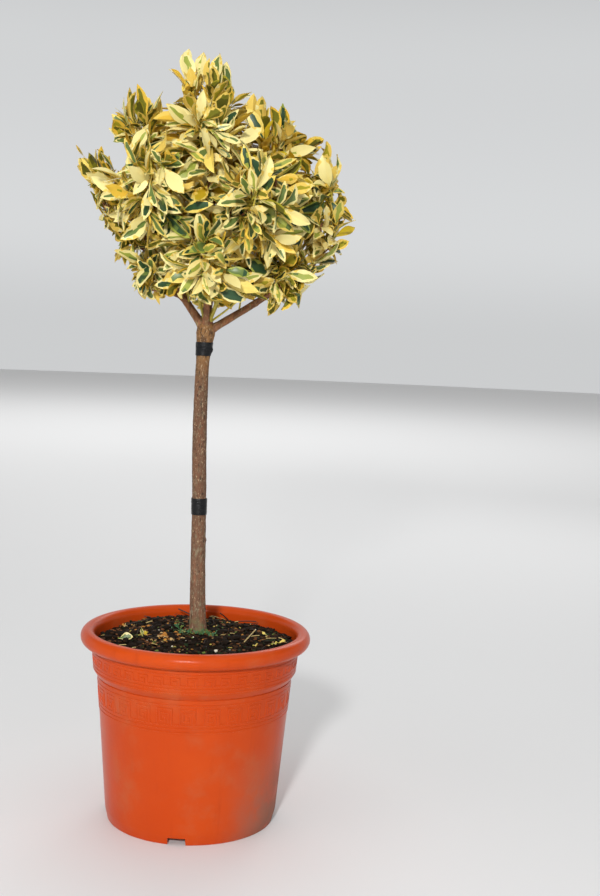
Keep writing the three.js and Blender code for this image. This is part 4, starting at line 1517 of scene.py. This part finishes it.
# %% Tips and shoots that the picture shows
MORE_TIPS = {
    "leaves_lower_front": [(-30, -44, 584), (2, -46, 586), (22, -50, 590), (44, -40, 594), (-14, -66, 590)],
    "leaves_lower_left": [(-73, -24, 598), (-60, -30, 590)],
    "leaves_left": [(-152, -10, 750), (-146, -4, 738), (-140, 10, 742), (-98, -36, 752), (-104, 14, 756)],
    "leaves_top": [(-38, 0, 846), (-8, 0, 852), (8, -4, 848), (24, 0, 842), (32, -4, 836), (-44, 4, 836)],
    "leaves_upper_right": [(52, 0, 806), (70, -6, 800), (34, -20, 808), (110, -6, 776)],
    "leaves_upper_left": [
        (-86, -14, 812), (-64, -6, 806), (-118, -8, 772), (-110, -28, 766), (-114, 14, 778),
    ],
}
SHOWN_SHOOTS = [
    # limb, share of its length, elbow, end, radii
    ("trunk", 0.985, (11, -13, 578), (15, -18, 603), (2.4, 1.7)),
    ("trunk", 0.985, (-5, -11, 576), (-11, -16, 596), (2.0, 1.4)),
    ("trunk", 0.985, (24, -14, 577), (44, -20, 597), (1.4, 0.9)),
    ("bough_left", 0.35, (-34, -18, 632), (-36, -23, 617), (1.2, 0.8)),
    ("bough_left", 0.5, (-50, -14, 626), (-56, -24, 616), (1.2, 0.8)),
    ("bough_left", 0.25, (-22, -14, 606), (-20, -26, 608), (1.1, 0.7)),
    ("bough_front", 0.5, (-6, -34, 616), (-2, -44, 614), (1.2, 0.8)),
    ("bough_front", 0.35, (12, -28, 604), (24, -34, 608), (1.1, 0.7)),
    ("bough_right", 0.3, (42, -10, 630), (50, -16, 620), (1.1, 0.7)),
    ("bough_right", 0.5, (66, -8, 632), (70, -16, 619), (1.1, 0.7)),
    ("bough_right", 0.7, (88, -8, 624), (96, -14, 618), (1.2, 0.8)),
    ("bough_centre", 0.16, (-10, -6, 598), (-18, -14, 612), (1.2, 0.8)),
    ("bough_centre", 0.24, (12, -10, 612), (24, -16, 620), (1.2, 0.8)),
    ("bough_centre", 0.97, (-26, 0, 765), (-31, -2, 822), (1.8, 1.0)),
    ("bough_centre", 0.95, (-12, 4, 770), (-16, 4, 822), (1.8, 1.0)),
    ("bough_centre", 0.98, (4, -4, 770), (2, -6, 816), (1.8, 1.0)),
    ("bough_centre", 0.93, (14, 2, 765), (16, -2, 806), (1.8, 1.0)),
    ("bough_centre", 0.91, (-24, -6, 752), (-37, -6, 806), (1.6, 0.9)),
    ("bough_centre", 0.99, (-14, -6, 770), (-23, -8, 815), (1.6, 0.9)),
    ("bough_centre", 0.96, (6, 8, 768), (8, 8, 810), (1.6, 0.9)),
    ("branch_upper_left", 0.96, (-72, -6, 740), (-86, -8, 774), (1.5, 0.9)),
    ("branch_upper_left", 0.9, (-66, -14, 736), (-72, -14, 776), (1.5, 0.9)),
    ("branch_upper_right", 0.9, (46, -6, 740), (42, -8, 775), (1.5, 0.9)),
    ("branch_upper_right", 0.96, (62, -8, 736), (70, -8, 764), (1.5, 0.9)),
    ("branch_upper_right", 0.98, (84, -6, 734), (93, -8, 748), (1.5, 0.9)),
]
print("more tips and shoots:", sum(map(len, MORE_TIPS.values())), len(SHOWN_SHOOTS))

# %% [markdown]
# ## Growing the shoots
# A shoot starts from the joint that gives it about the wanted length, leaves in its parent's direction,
# and bends towards its target, which its end leaf will touch with its tip. The rounds go from coarse to
# fine: first the tips and the nine points that the solids use, then finer twigs for more points in between
# and further in.

# %% Tools for growth
GOLDEN_ANGLE = math.pi * (3 - math.sqrt(5))


def seeded(seed):
    """The same simple random numbers as in the part's source."""
    state = seed
    while True:
        state = (state * 1664525 + 1013904223) % 2**32
        yield state / 2**32


def even_directions(count, turn):
    """Directions spread evenly over a sphere."""
    heights = 1 - (2 * np.arange(count) + 1) / count
    flat = np.sqrt(1 - heights**2)
    angles = turn + np.arange(count) * GOLDEN_ANGLE
    return np.stack([flat * np.cos(angles), flat * np.sin(angles), heights], axis=1)


class Shoot:
    """A shoot: its mass, its path in mm, its radii and its order, 0 for the stem of a mass."""

    def __init__(self, mass, path, radii, order):
        self.mass = mass
        self.path = path
        self.radii = radii
        self.order = order


print("a first random number:", next(seeded(1)))

# %% [markdown]
# The twigs of a real crown seldom touch, because each grows towards free space and light. So a new shoot
# keeps clear of the wood that is there, and its target keeps clear of the targets that are taken.

# %% Free places
LEAST_DEPTH = 0.5
CLEARANCE = 2.2
wood_points = [np.array(path.points) / MM for path in limb_paths.values()]
taken_targets = []


def add_wood(path, first=0.0, count=9):
    """Notes where a new shoot runs."""
    wood_points.append(path.places(np.linspace(first, 1, count)))


def clear_of_wood(points):
    """True where no point is near other wood."""
    gaps = (np.linalg.norm(wood[None] - points[:, None], axis=2).min() for wood in wood_points)
    return all(gap > CLEARANCE for gap in gaps)


def wanted_target(name, target, spacing):
    """True where a target is not deep in another mass, and not close to one that is taken."""
    depth = depths([target])[0]
    depth[list(MASSES).index(name)] = 1
    near = [other for other in taken_targets if (other - target).length < spacing]
    return depth.min() > LEAST_DEPTH and not near


print("limbs to keep clear of:", len(wood_points))

# %% Growth of one shoot
TWIG_SWEEP = 0.12
TWIG_LEAN = 0.4
LEAST_LENGTH = 7
LEAF_LENGTH = 42
JOINTS_TRIED = 16
OUTER_PART = np.linspace(0.35, 1, 8)


def shoot_path(joint, target):
    """The path from a joint to a target that the end leaf will touch, or None where there is no room."""
    parent, share = joint
    root = parent.at(share)
    straight = (target - root).normalized()
    end = target - straight * LEAF_LENGTH
    length = (end - root).length
    if length < LEAST_LENGTH or (target - root).length < LEAF_LENGTH:
        return None
    elbow = root + parent.way(share) * length * TWIG_SWEEP + straight * length * TWIG_LEAN
    path = bent(root, elbow, end, 9)
    outer = path.places(OUTER_PART)
    return path if in_crown(outer) and clear_of_wood(outer) else None


def grow_shoot(joints, target, wanted):
    """The joint and path of the shoot that comes nearest to the wanted length, or None."""

    def misfit(joint):
        return abs((joint[0].at(joint[1]) - target).length - wanted - LEAF_LENGTH)

    for joint in sorted(joints, key=misfit)[:JOINTS_TRIED]:
        path = shoot_path(joint, target)
        if path:
            return joint, path
    return None


print("joints that are tried for a shoot:", JOINTS_TRIED)

# %% Growth of one mass
STEM_STRAIGHT = 14
STEM_SUNK = 1.5
STEM_END_RADIUS = 1.3
ROUND_TURN = 1.7
JOINT_SHARES = [0.24, 0.35, 0.46, 0.57, 0.68, 0.79, 0.9, 0.98]
LIMB_SHARES = [0.5, 0.62, 0.74, 0.86, 0.95]
ROUNDS = [
    # points, share of the reach, least spacing, wanted length of the shoot, root and end radius
    (9, 0.97, 8, 40, (1.25, 0.75)),
    (30, 0.99, 13, 28, (1.05, 0.65)),
    (15, 0.76, 14, 24, (0.95, 0.6)),
]


def grow_mass(name):
    """All shoots of one mass."""
    limb, seed, middle, reach, tips = MASSES[name]
    start = limb_paths[limb].at(1) / MM
    way = limb_paths[limb].way(1)
    stem_path = bent(start - way * STEM_SUNK, start + way * STEM_STRAIGHT, Vector(middle))
    grown = [Shoot(name, stem_path, (LIMBS[limb][4][1], STEM_END_RADIUS), 0)]
    add_wood(stem_path, 0.15, 12)
    limb_path = Path(limb_paths[limb].points / MM)
    joints = [(stem_path, share) for share in JOINT_SHARES]
    joints += [(limb_path, share) for share in LIMB_SHARES]
    turn = next(seeded(seed)) * math.tau
    for order, (count, reach_share, spacing, wanted, radii) in enumerate(ROUNDS):
        points = even_directions(count, turn + order * ROUND_TURN) * np.array(reach) * reach_share
        points += np.array(middle)
        shown = [*tips, *MORE_TIPS.get(name, [])] if order == 0 else []
        for target in map(Vector, [*shown, *points]):
            found = grow_shoot(joints, target, wanted) if wanted_target(name, target, spacing) else None
            if found:
                joint, path = found
                taken_targets.append(target)
                grown.append(Shoot(name, path, radii, order + 1))
                add_wood(path)
                joints.remove(joint)
                joints += [(path, share) for share in JOINT_SHARES[1::2]]
    return grown


def shown_shoot(limb, share, elbow, end, radii):
    """A shoot of the picture, counted with the mass in which it ends."""
    path = bent(limb_paths[limb].at(share) / MM, Vector(elbow), Vector(end), 9)
    add_wood(path)
    mass = list(MASSES)[int(depths([end])[0].argmin())]
    return Shoot(mass, path, radii, 2)


shoots = [shown_shoot(*details) for details in SHOWN_SHOOTS]
shoots += [shoot for name in MASSES for shoot in grow_mass(name)]
print("shoots:", len(shoots))

# %% [markdown]
# Each shoot becomes a thin tube, a little swollen at its root. The older ones have the bark of the boughs,
# and the young ones are yellow-green. Six sides look round at the width of a twig, and they keep hundreds
# of twigs light.

# %% Twigs
TWIG_SIDES = 6
TWIG_RING = 5
LEAST_RINGS = 3
ROOT_SWELL = 1.25
twigs = Bundle()
for shoot in shoots:
    steps = max(LEAST_RINGS, round(shoot.path.length / TWIG_RING))
    radii = np.linspace(*shoot.radii, steps + 1)
    radii[0] *= ROOT_SWELL
    template, corners = sweep(Path(shoot.path.points * MM), radii * MM, TWIG_SIDES, steps)
    twigs.add(template, corners, 0 if shoot.order <= 1 else 1)
    shoot.tree = BVHTree.FromPolygons([Vector(corner) / MM for corner in corners], template.faces)
finish_piece("twigs", twigs.mesh("twigs"), wood_materials, list(MASSES), crease=60)

# %% [markdown]
# ## Leaves in pairs
# The leaves stand in opposite pairs, and each pair is turned a quarter from the last, as in the real
# shrub. The pair nearest the tip is smallest and most upright, and the older ones lean out. A leaf that
# would cut through another leaf, a twig or a limb is turned, tilted or shortened a little, and it is left
# out if no try is free.

# %% Is the place free
NEAR = 40
NEIGHBOURS = [(x, y, z) for x in (-1, 0, 1) for y in (-1, 0, 1) for z in (-1, 0, 1)]
shoot_middles = np.array([shoot.path.at(0.5) for shoot in shoots])
shoot_halves = np.array([shoot.path.length / 2 for shoot in shoots])
limb_tree = BVHTree.FromPolygons([vert.co / MM for vert in bough_mesh.vertices], boughs.faces)
cells = {}


def cuts_wood(tree, middle, length):
    """True where a leaf would cut through a limb or a twig."""
    away = np.linalg.norm(shoot_middles - middle, axis=1)
    close = np.flatnonzero(away < shoot_halves + length / 2)
    return bool(tree.overlap(limb_tree)) or any(tree.overlap(shoots[index].tree) for index in close)


def cuts_leaf(tree, middle, cell):
    """True where a leaf would cut through one that has its place."""
    for step in NEIGHBOURS:
        for other_middle, other_tree in cells.get(tuple(a + b for a, b in zip(cell, step)), []):
            between = other_middle - middle
            if between @ between < NEAR**2 and tree.overlap(other_tree):
                return True
    return False


def take_place(corners, length):
    """Takes a leaf's place if it is allowed and free, and says whether it did."""
    if not (in_box(corners) and in_crown(corners) and in_outline(corners)):
        return False
    tree = BVHTree.FromPolygons([Vector(corner) for corner in corners], BLADE_FACES)
    middle = corners.mean(axis=0)
    cell = tuple(int(value // NEAR) for value in middle)
    if cuts_wood(tree, middle, length) or cuts_leaf(tree, middle, cell):
        return False
    cells.setdefault(cell, []).append((middle, tree))
    return True


print("shoots to keep clear of:", len(shoot_halves))

# %% [markdown]
# A leaf turns its upper face outwards and to the sky, and the lower it grows, the more it may hang. Deep
# in the crown the palettes shift to yellow and gold, a painted shade for the warm light that comes through
# and off the leaves there.

# %% Setting one leaf
WIDTH_SHARE = 0.33
WIDTH_SPREAD = (0.85, 1.18)
CURLS = (0.5, 0.3)
CROWN_MIDDLE = Vector((0, 0, 705))
OUTWARD = 0.7
SKYWARD = 0.35
DROOP = 0.8
DROOP_SPREAD = (0.1, 1)
DROOP_TOP = 830
DROOP_SPAN = 250
leaves = []


def place_leaf(rng, shoot, point, way, out, degrees, length, palette):
    """Adds a leaf if its place is free, and says whether it did."""
    angle = math.radians(degrees)
    along = way * math.cos(angle) + out * math.sin(angle)
    along.z -= rng.uniform(*DROOP_SPREAD) * min(max((DROOP_TOP - point.z) / DROOP_SPAN, 0), 1) * DROOP
    along.normalize()
    up = way * math.sin(angle) - out * math.cos(angle)
    up = up + (point - CROWN_MIDDLE).normalized() * OUTWARD + Vector((0, 0, SKYWARD))
    up = (up - along * up.dot(along)).normalized()
    across = up.cross(along).normalized()
    curl = rng.gauss(*CURLS)
    width = length * WIDTH_SHARE * rng.uniform(*WIDTH_SPREAD)
    shape = leaf_shape(rng, length, width, PALETTES[palette][3], curl)
    corners = shape @ np.array([across, along, up]) + np.array(point)
    if not take_place(corners, length):
        return False
    leaves.append((corners, shoot, leaf_slots(rng, palette)))
    return True


print("usual width of a leaf, mm:", round(LEAF_LENGTH * WIDTH_SHARE, 1))

# %% Palettes in the shade
CROWN_REACH = Vector((150, 135, 118))
SHADE_DEPTH = 0.62
SHADE_KEEPS = 0.5
# The yellow and gold added here are painted shade: the warm light through and off the leaves deep in the
# crown.
PAINTED_SHADE_ADDS = {"yellow": 0.45, "golden": 0.55}
STRAY_LEAVES = 0.3


def in_shade(point):
    """True inside the crown, where leaves are given yellow and gold as painted shade."""
    away = point - CROWN_MIDDLE
    return Vector([part / reach for part, reach in zip(away, CROWN_REACH)]).length < SHADE_DEPTH


def draw_palette(rng, point):
    """A palette for a place in the crown."""
    weights = {name: weight for name, (weight, *_) in PALETTES.items()}
    if in_shade(point):
        weights = {name: weight * SHADE_KEEPS + PAINTED_SHADE_ADDS.get(name, 0) for name, weight in weights.items()}
    return rng.choices(list(weights), list(weights.values()))[0]


def leaf_palette(rng, shoot, point):
    """Mostly the palette of the shoot, and that of the place in the shade."""
    if in_shade(point) or rng.random() < STRAY_LEAVES:
        return draw_palette(rng, point)
    return shoot.palette


leaf_rng = random.Random(11)
for shoot in shoots:
    shoot.palette = draw_palette(leaf_rng, shoot.path.at(1))
print("shoots of each palette:", {name: [s.palette for s in shoots].count(name) for name in PALETTES})

# %% [markdown]
# The end leaves are set first, because they reach the points that give the crown its shape. The pairs
# follow from the tips inwards, for all shoots in turn, so the outer leaves of the crown get their places
# before the inner ones.

# %% Growing the leaves
PAIR_PLACES = [3, 9, 17, 26, 36, 47]
PAIR_SIZES = [0.74, 0.88, 1.0, 1.05, 1.0, 0.95]
PAIR_SPREAD = (0.86, 1.1)
PAIR_ANGLE = 26
PAIR_ANGLE_STEP = 11
TURN_ERROR = 8
ANGLE_ERROR = 6
LEAST_SHARE = 0.2
END_TRIES = [(0, 0, 1), (90, 8, 0.95), (180, 14, 0.9), (270, 18, 0.86)]
LEAF_TRIES = [
    # turn round the shoot, tilt away from it, share of the length
    (0, 0, 1),
    (20, -10, 0.96),
    (-20, 12, 0.94),
    (40, 20, 0.9),
    (-40, -16, 0.88),
    (10, 34, 0.8),
    (-12, 46, 0.78),
    (65, -8, 0.82),
    (-65, 26, 0.76),
]


def end_leaf(rng, shoot):
    """The leaf at the tip of a shoot, turned until its place is free."""
    way = shoot.path.way(1)
    point = shoot.path.at(1)
    shoot.side = way.cross(Vector([rng.uniform(-1, 1) for _ in range(3)])).normalized()
    for spin, tilt, share in END_TRIES:
        out = Matrix.Rotation(math.radians(spin), 3, way) @ shoot.side
        palette = leaf_palette(rng, shoot, point)
        if place_leaf(rng, shoot, point, way, out, tilt, LEAF_LENGTH * share, palette):
            return


def leaf_pair(rng, shoot, pair, run, size):
    """Two opposite leaves at a distance from the tip, where the shoot is long enough."""
    share = 1 - run / shoot.path.length
    if share < LEAST_SHARE:
        return
    way = shoot.path.way(share)
    point = shoot.path.at(share)
    for half in (0, math.pi):
        length = LEAF_LENGTH * size * rng.uniform(*PAIR_SPREAD)
        palette = leaf_palette(rng, shoot, point)
        for spin, tilt, shorter in LEAF_TRIES:
            turn = pair * math.pi / 2 + half + math.radians(spin + rng.gauss(0, TURN_ERROR))
            out = Matrix.Rotation(turn, 3, way) @ shoot.side
            out = (out - way * out.dot(way)).normalized()
            degrees = PAIR_ANGLE + PAIR_ANGLE_STEP * pair + rng.gauss(0, ANGLE_ERROR) + tilt
            if place_leaf(rng, shoot, point, way, out, degrees, length * shorter, palette):
                break


for shoot in shoots:
    end_leaf(leaf_rng, shoot)
for pair, (run, size) in enumerate(zip(PAIR_PLACES, PAIR_SIZES)):
    for shoot in shoots:
        leaf_pair(leaf_rng, shoot, pair, run, size)
print("leaves:", len(leaves))

# %% [markdown]
# The leaves of each storey of the crown are joined into one mesh, which stands for the solids of that
# storey.

# %% Joining the leaves
STOREYS = {
    "leaves_of_upper_storey": [name for name in MASSES if "upper" in name or "top" in name],
    "leaves_of_lower_storey": [name for name in MASSES if "lower" in name],
}
taken = [name for names in STOREYS.values() for name in names]
STOREYS["leaves_of_middle_storey"] = [name for name in MASSES if name not in taken]
for storey, names in STOREYS.items():
    bundle = Bundle()
    for corners, shoot, slots in leaves:
        if shoot.mass in names:
            bundle.add(leaf_template, corners * MM, slots)
    finish_piece(storey, bundle.mesh(storey), leaf_materials, names, crease=50)

# %% [markdown]
# ## Things on the compost
# The picture shows a green and a curled yellow leaf scrap at the left, a heap of orange bark, small weeds
# at the stem's foot, a long straw at the right and a pale stone at the front. They tell a viewer at once
# that the compost is real. Scraps and weeds reuse the leaf, the straws are thin tubes, and the bark reuses
# the crumb.

# %% Scraps and weeds
SCRAPS = [
    # place, turn, tilt and roll in degrees, length, width, palette, curl
    ((-86, -22), -84, 2, 34, 17, 11, "green", -0.2),
    ((-58, -24), 40, 40, 20, 11, 5, "variegated", -0.8),
    ((-62, -18), -70, 5, 30, 10, 5, "golden", -0.5),
    ((94, -12), -60, 8, 20, 9, 4, "yellow", -0.4),
    ((86, -26), -100, 8, 20, 9, 4, "yellow", -0.4),
    ((80, 12), 60, 10, 0, 8, 3, "golden", -0.6),
    ((66, -38), -120, 10, 20, 8, 4, "yellow", -0.5),
]
SCRAP_RISE = 3.2
SCRAP_BORDER = 0.5
WEEDS = [(-21, 20), (-14, -11), (-4, -14), (6, -15), (14, -10), (18, -18), (-22, 10)]
WEED_LEAVES = 10
WEED_SPREAD = 2.4
WEED_LENGTHS = (3, 6.5)
WEED_WIDTH_SHARE = 0.24
WEED_TILTS = (15, 70)
WEED_CURL = 0.4
WEED_RISE = 1.5
WEED_COLOURS = [(0.06, 0.19, 0.07), (0.2, 0.27, 0.05)]

rng = random.Random(9)
scraps = Bundle()


def lay_leaf(place, turns, size, curl, slots, rise):
    """A leaf on the compost: turned about the upright, tilted at its tip, and rolled about its length."""
    shape = leaf_shape(rng, *size, SCRAP_BORDER, curl)
    turned = Matrix.Identity(3)
    for degrees, axis in zip(turns, "ZXY"):
        turned = turned @ Matrix.Rotation(math.radians(degrees), 3, axis)
    ground = np.array([*place, soil_height(*place) + rise])
    scraps.add(leaf_template, (shape @ np.array(turned).T + ground) * MM, slots)


for place, turn, tilt, roll, length, width, palette, curl in SCRAPS:
    lay_leaf(place, (turn, tilt, roll), (length, width), curl, leaf_slots(rng, palette), SCRAP_RISE)
weed_slot = len(leaf_materials)
for x, y in WEEDS:
    for _ in range(WEED_LEAVES):
        place = (x + rng.gauss(0, WEED_SPREAD), y + rng.gauss(0, WEED_SPREAD))
        length = rng.uniform(*WEED_LENGTHS)
        turns = (rng.uniform(0, 360), rng.uniform(*WEED_TILTS), 0)
        slot_index = weed_slot + rng.choice([0, 0, 1])
        lay_leaf(place, turns, (length, length * WEED_WIDTH_SHARE), WEED_CURL, slot_index, WEED_RISE)
weed_materials = [plain_material("weed", colour, 0.5) for colour in WEED_COLOURS]
scrap_mesh = scraps.mesh("scraps_and_weeds")
finish_piece("scraps_and_weeds", scrap_mesh, leaf_materials + weed_materials)

# %% [markdown]
# The straws and the short fibres bend a little, as dry stalks do, and most of a straw lies clear of the
# compost. Each is the tube that the twigs are made of. A curve with a bevel would do too, but the export
# wants meshes.

# %% Straws
STRAWS = [
    # two ends on the compost, rise of the second end, radius, slot
    ((66, 30), (57, -46), 3, 0.7, 0),
    ((31, 92), (22, 78), 7, 0.8, 1),
    ((-84, 36), (-60, 44), 3, 0.6, 1),
    ((40, 60), (66, 66), 4, 0.6, 1),
    ((-12, 88), (-30, 92), 6, 0.7, 1),
]
STRAW_RISE = 4
STRAW_BEND = 0.06
STRAW_SIDES = 6
STRAW_STEPS = 6
FIBRES = 60
FIBRE_LENGTHS = (4, 13)
FIBRE_RISES = (0, 3)
FIBRE_RADII = (0.25, 0.5)
FIBRE_EDGE = 4
FIBRE_FROM_STEM = 15
STRAW_COLOUR = (0.62, 0.46, 0.16)
STICK_COLOUR = (0.03, 0.016, 0.008)
straws = Bundle()


def lay_straw(start, end, rise, radius, slot_index):
    """A thin straw over the compost, as a six-sided tube."""
    low = Vector((*start, soil_height(*start) + STRAW_RISE))
    high = Vector((*end, soil_height(*end) + STRAW_RISE + rise))
    bend = (high - low).length * STRAW_BEND
    elbow = (low + high) / 2 + Vector((rng.gauss(0, bend), rng.gauss(0, bend), bend))
    path = bent(low * MM, elbow * MM, high * MM, STRAW_STEPS)
    template, corners = sweep(path, np.full(STRAW_STEPS + 1, radius * MM), STRAW_SIDES, STRAW_STEPS)
    straws.add(template, corners, slot_index)


for details in STRAWS:
    lay_straw(*details)
for _ in range(FIBRES):
    x, y = crumb_place(rng, "fibre")
    turn = rng.uniform(0, math.tau)
    length = rng.uniform(*FIBRE_LENGTHS)
    end = (x + length * math.cos(turn), y + length * math.sin(turn))
    start_away, end_away = math.hypot(x, y), math.hypot(*end)
    if min(start_away, end_away) > FIBRE_FROM_STEM and end_away < SOIL_RADIUS - FIBRE_EDGE:
        lay_straw((x, y), end, rng.uniform(*FIBRE_RISES), rng.uniform(*FIBRE_RADII), rng.choice([0, 1, 1]))
straw_materials = [plain_material("straw", STRAW_COLOUR, 0.6), plain_material("stick", STICK_COLOUR, 0.7)]
finish_piece("straws", straws.mesh("straws"), straw_materials)

# %% Bark and a pale stone
BARK_HEAP = (Vector((-33, -24)), 7, 18)
HEAP_SQUASH = 0.7
BARK_SIZES = (3, 5.6)
BARK_FLATNESS = 0.85
HEAP_KINDS = ["orange chip", "tan chip", "bark chip", "perlite"]
STONE = (27, -67, 4, 0.8)

heap = Bundle()
middle, width, count = BARK_HEAP
for _ in range(count):
    x, y = rng.gauss(middle.x, width), rng.gauss(middle.y, width * HEAP_SQUASH)
    corners = crumb_corners(x, y, rng.uniform(*BARK_SIZES), BARK_FLATNESS, rng)
    heap.add(crumb_template, corners, rng.choice([0, 0, 1, 2]))
heap.add(crumb_template, crumb_corners(*STONE, rng), HEAP_KINDS.index("perlite"))
kinds = [kind for kind, *_ in CRUMB_KINDS]
heap_materials = [crumb_materials[kinds.index(kind)] for kind in HEAP_KINDS]
finish_piece("bark_heap", heap.mesh("bark_heap"), heap_materials, crease=60)

# %% [markdown]
# ## Measuring
# The bounds before and after dressing are kept side by side, so that it is plain that the pieces stay in
# the part.


def plain(bounds):
    return [[round(float(value), 5) for value in corner] for corner in bounds]


dressed_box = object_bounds()
{"part": plain(cad_box), "dressed": plain(dressed_box)}
print("part:", plain(cad_box), "dressed:", plain(dressed_box))
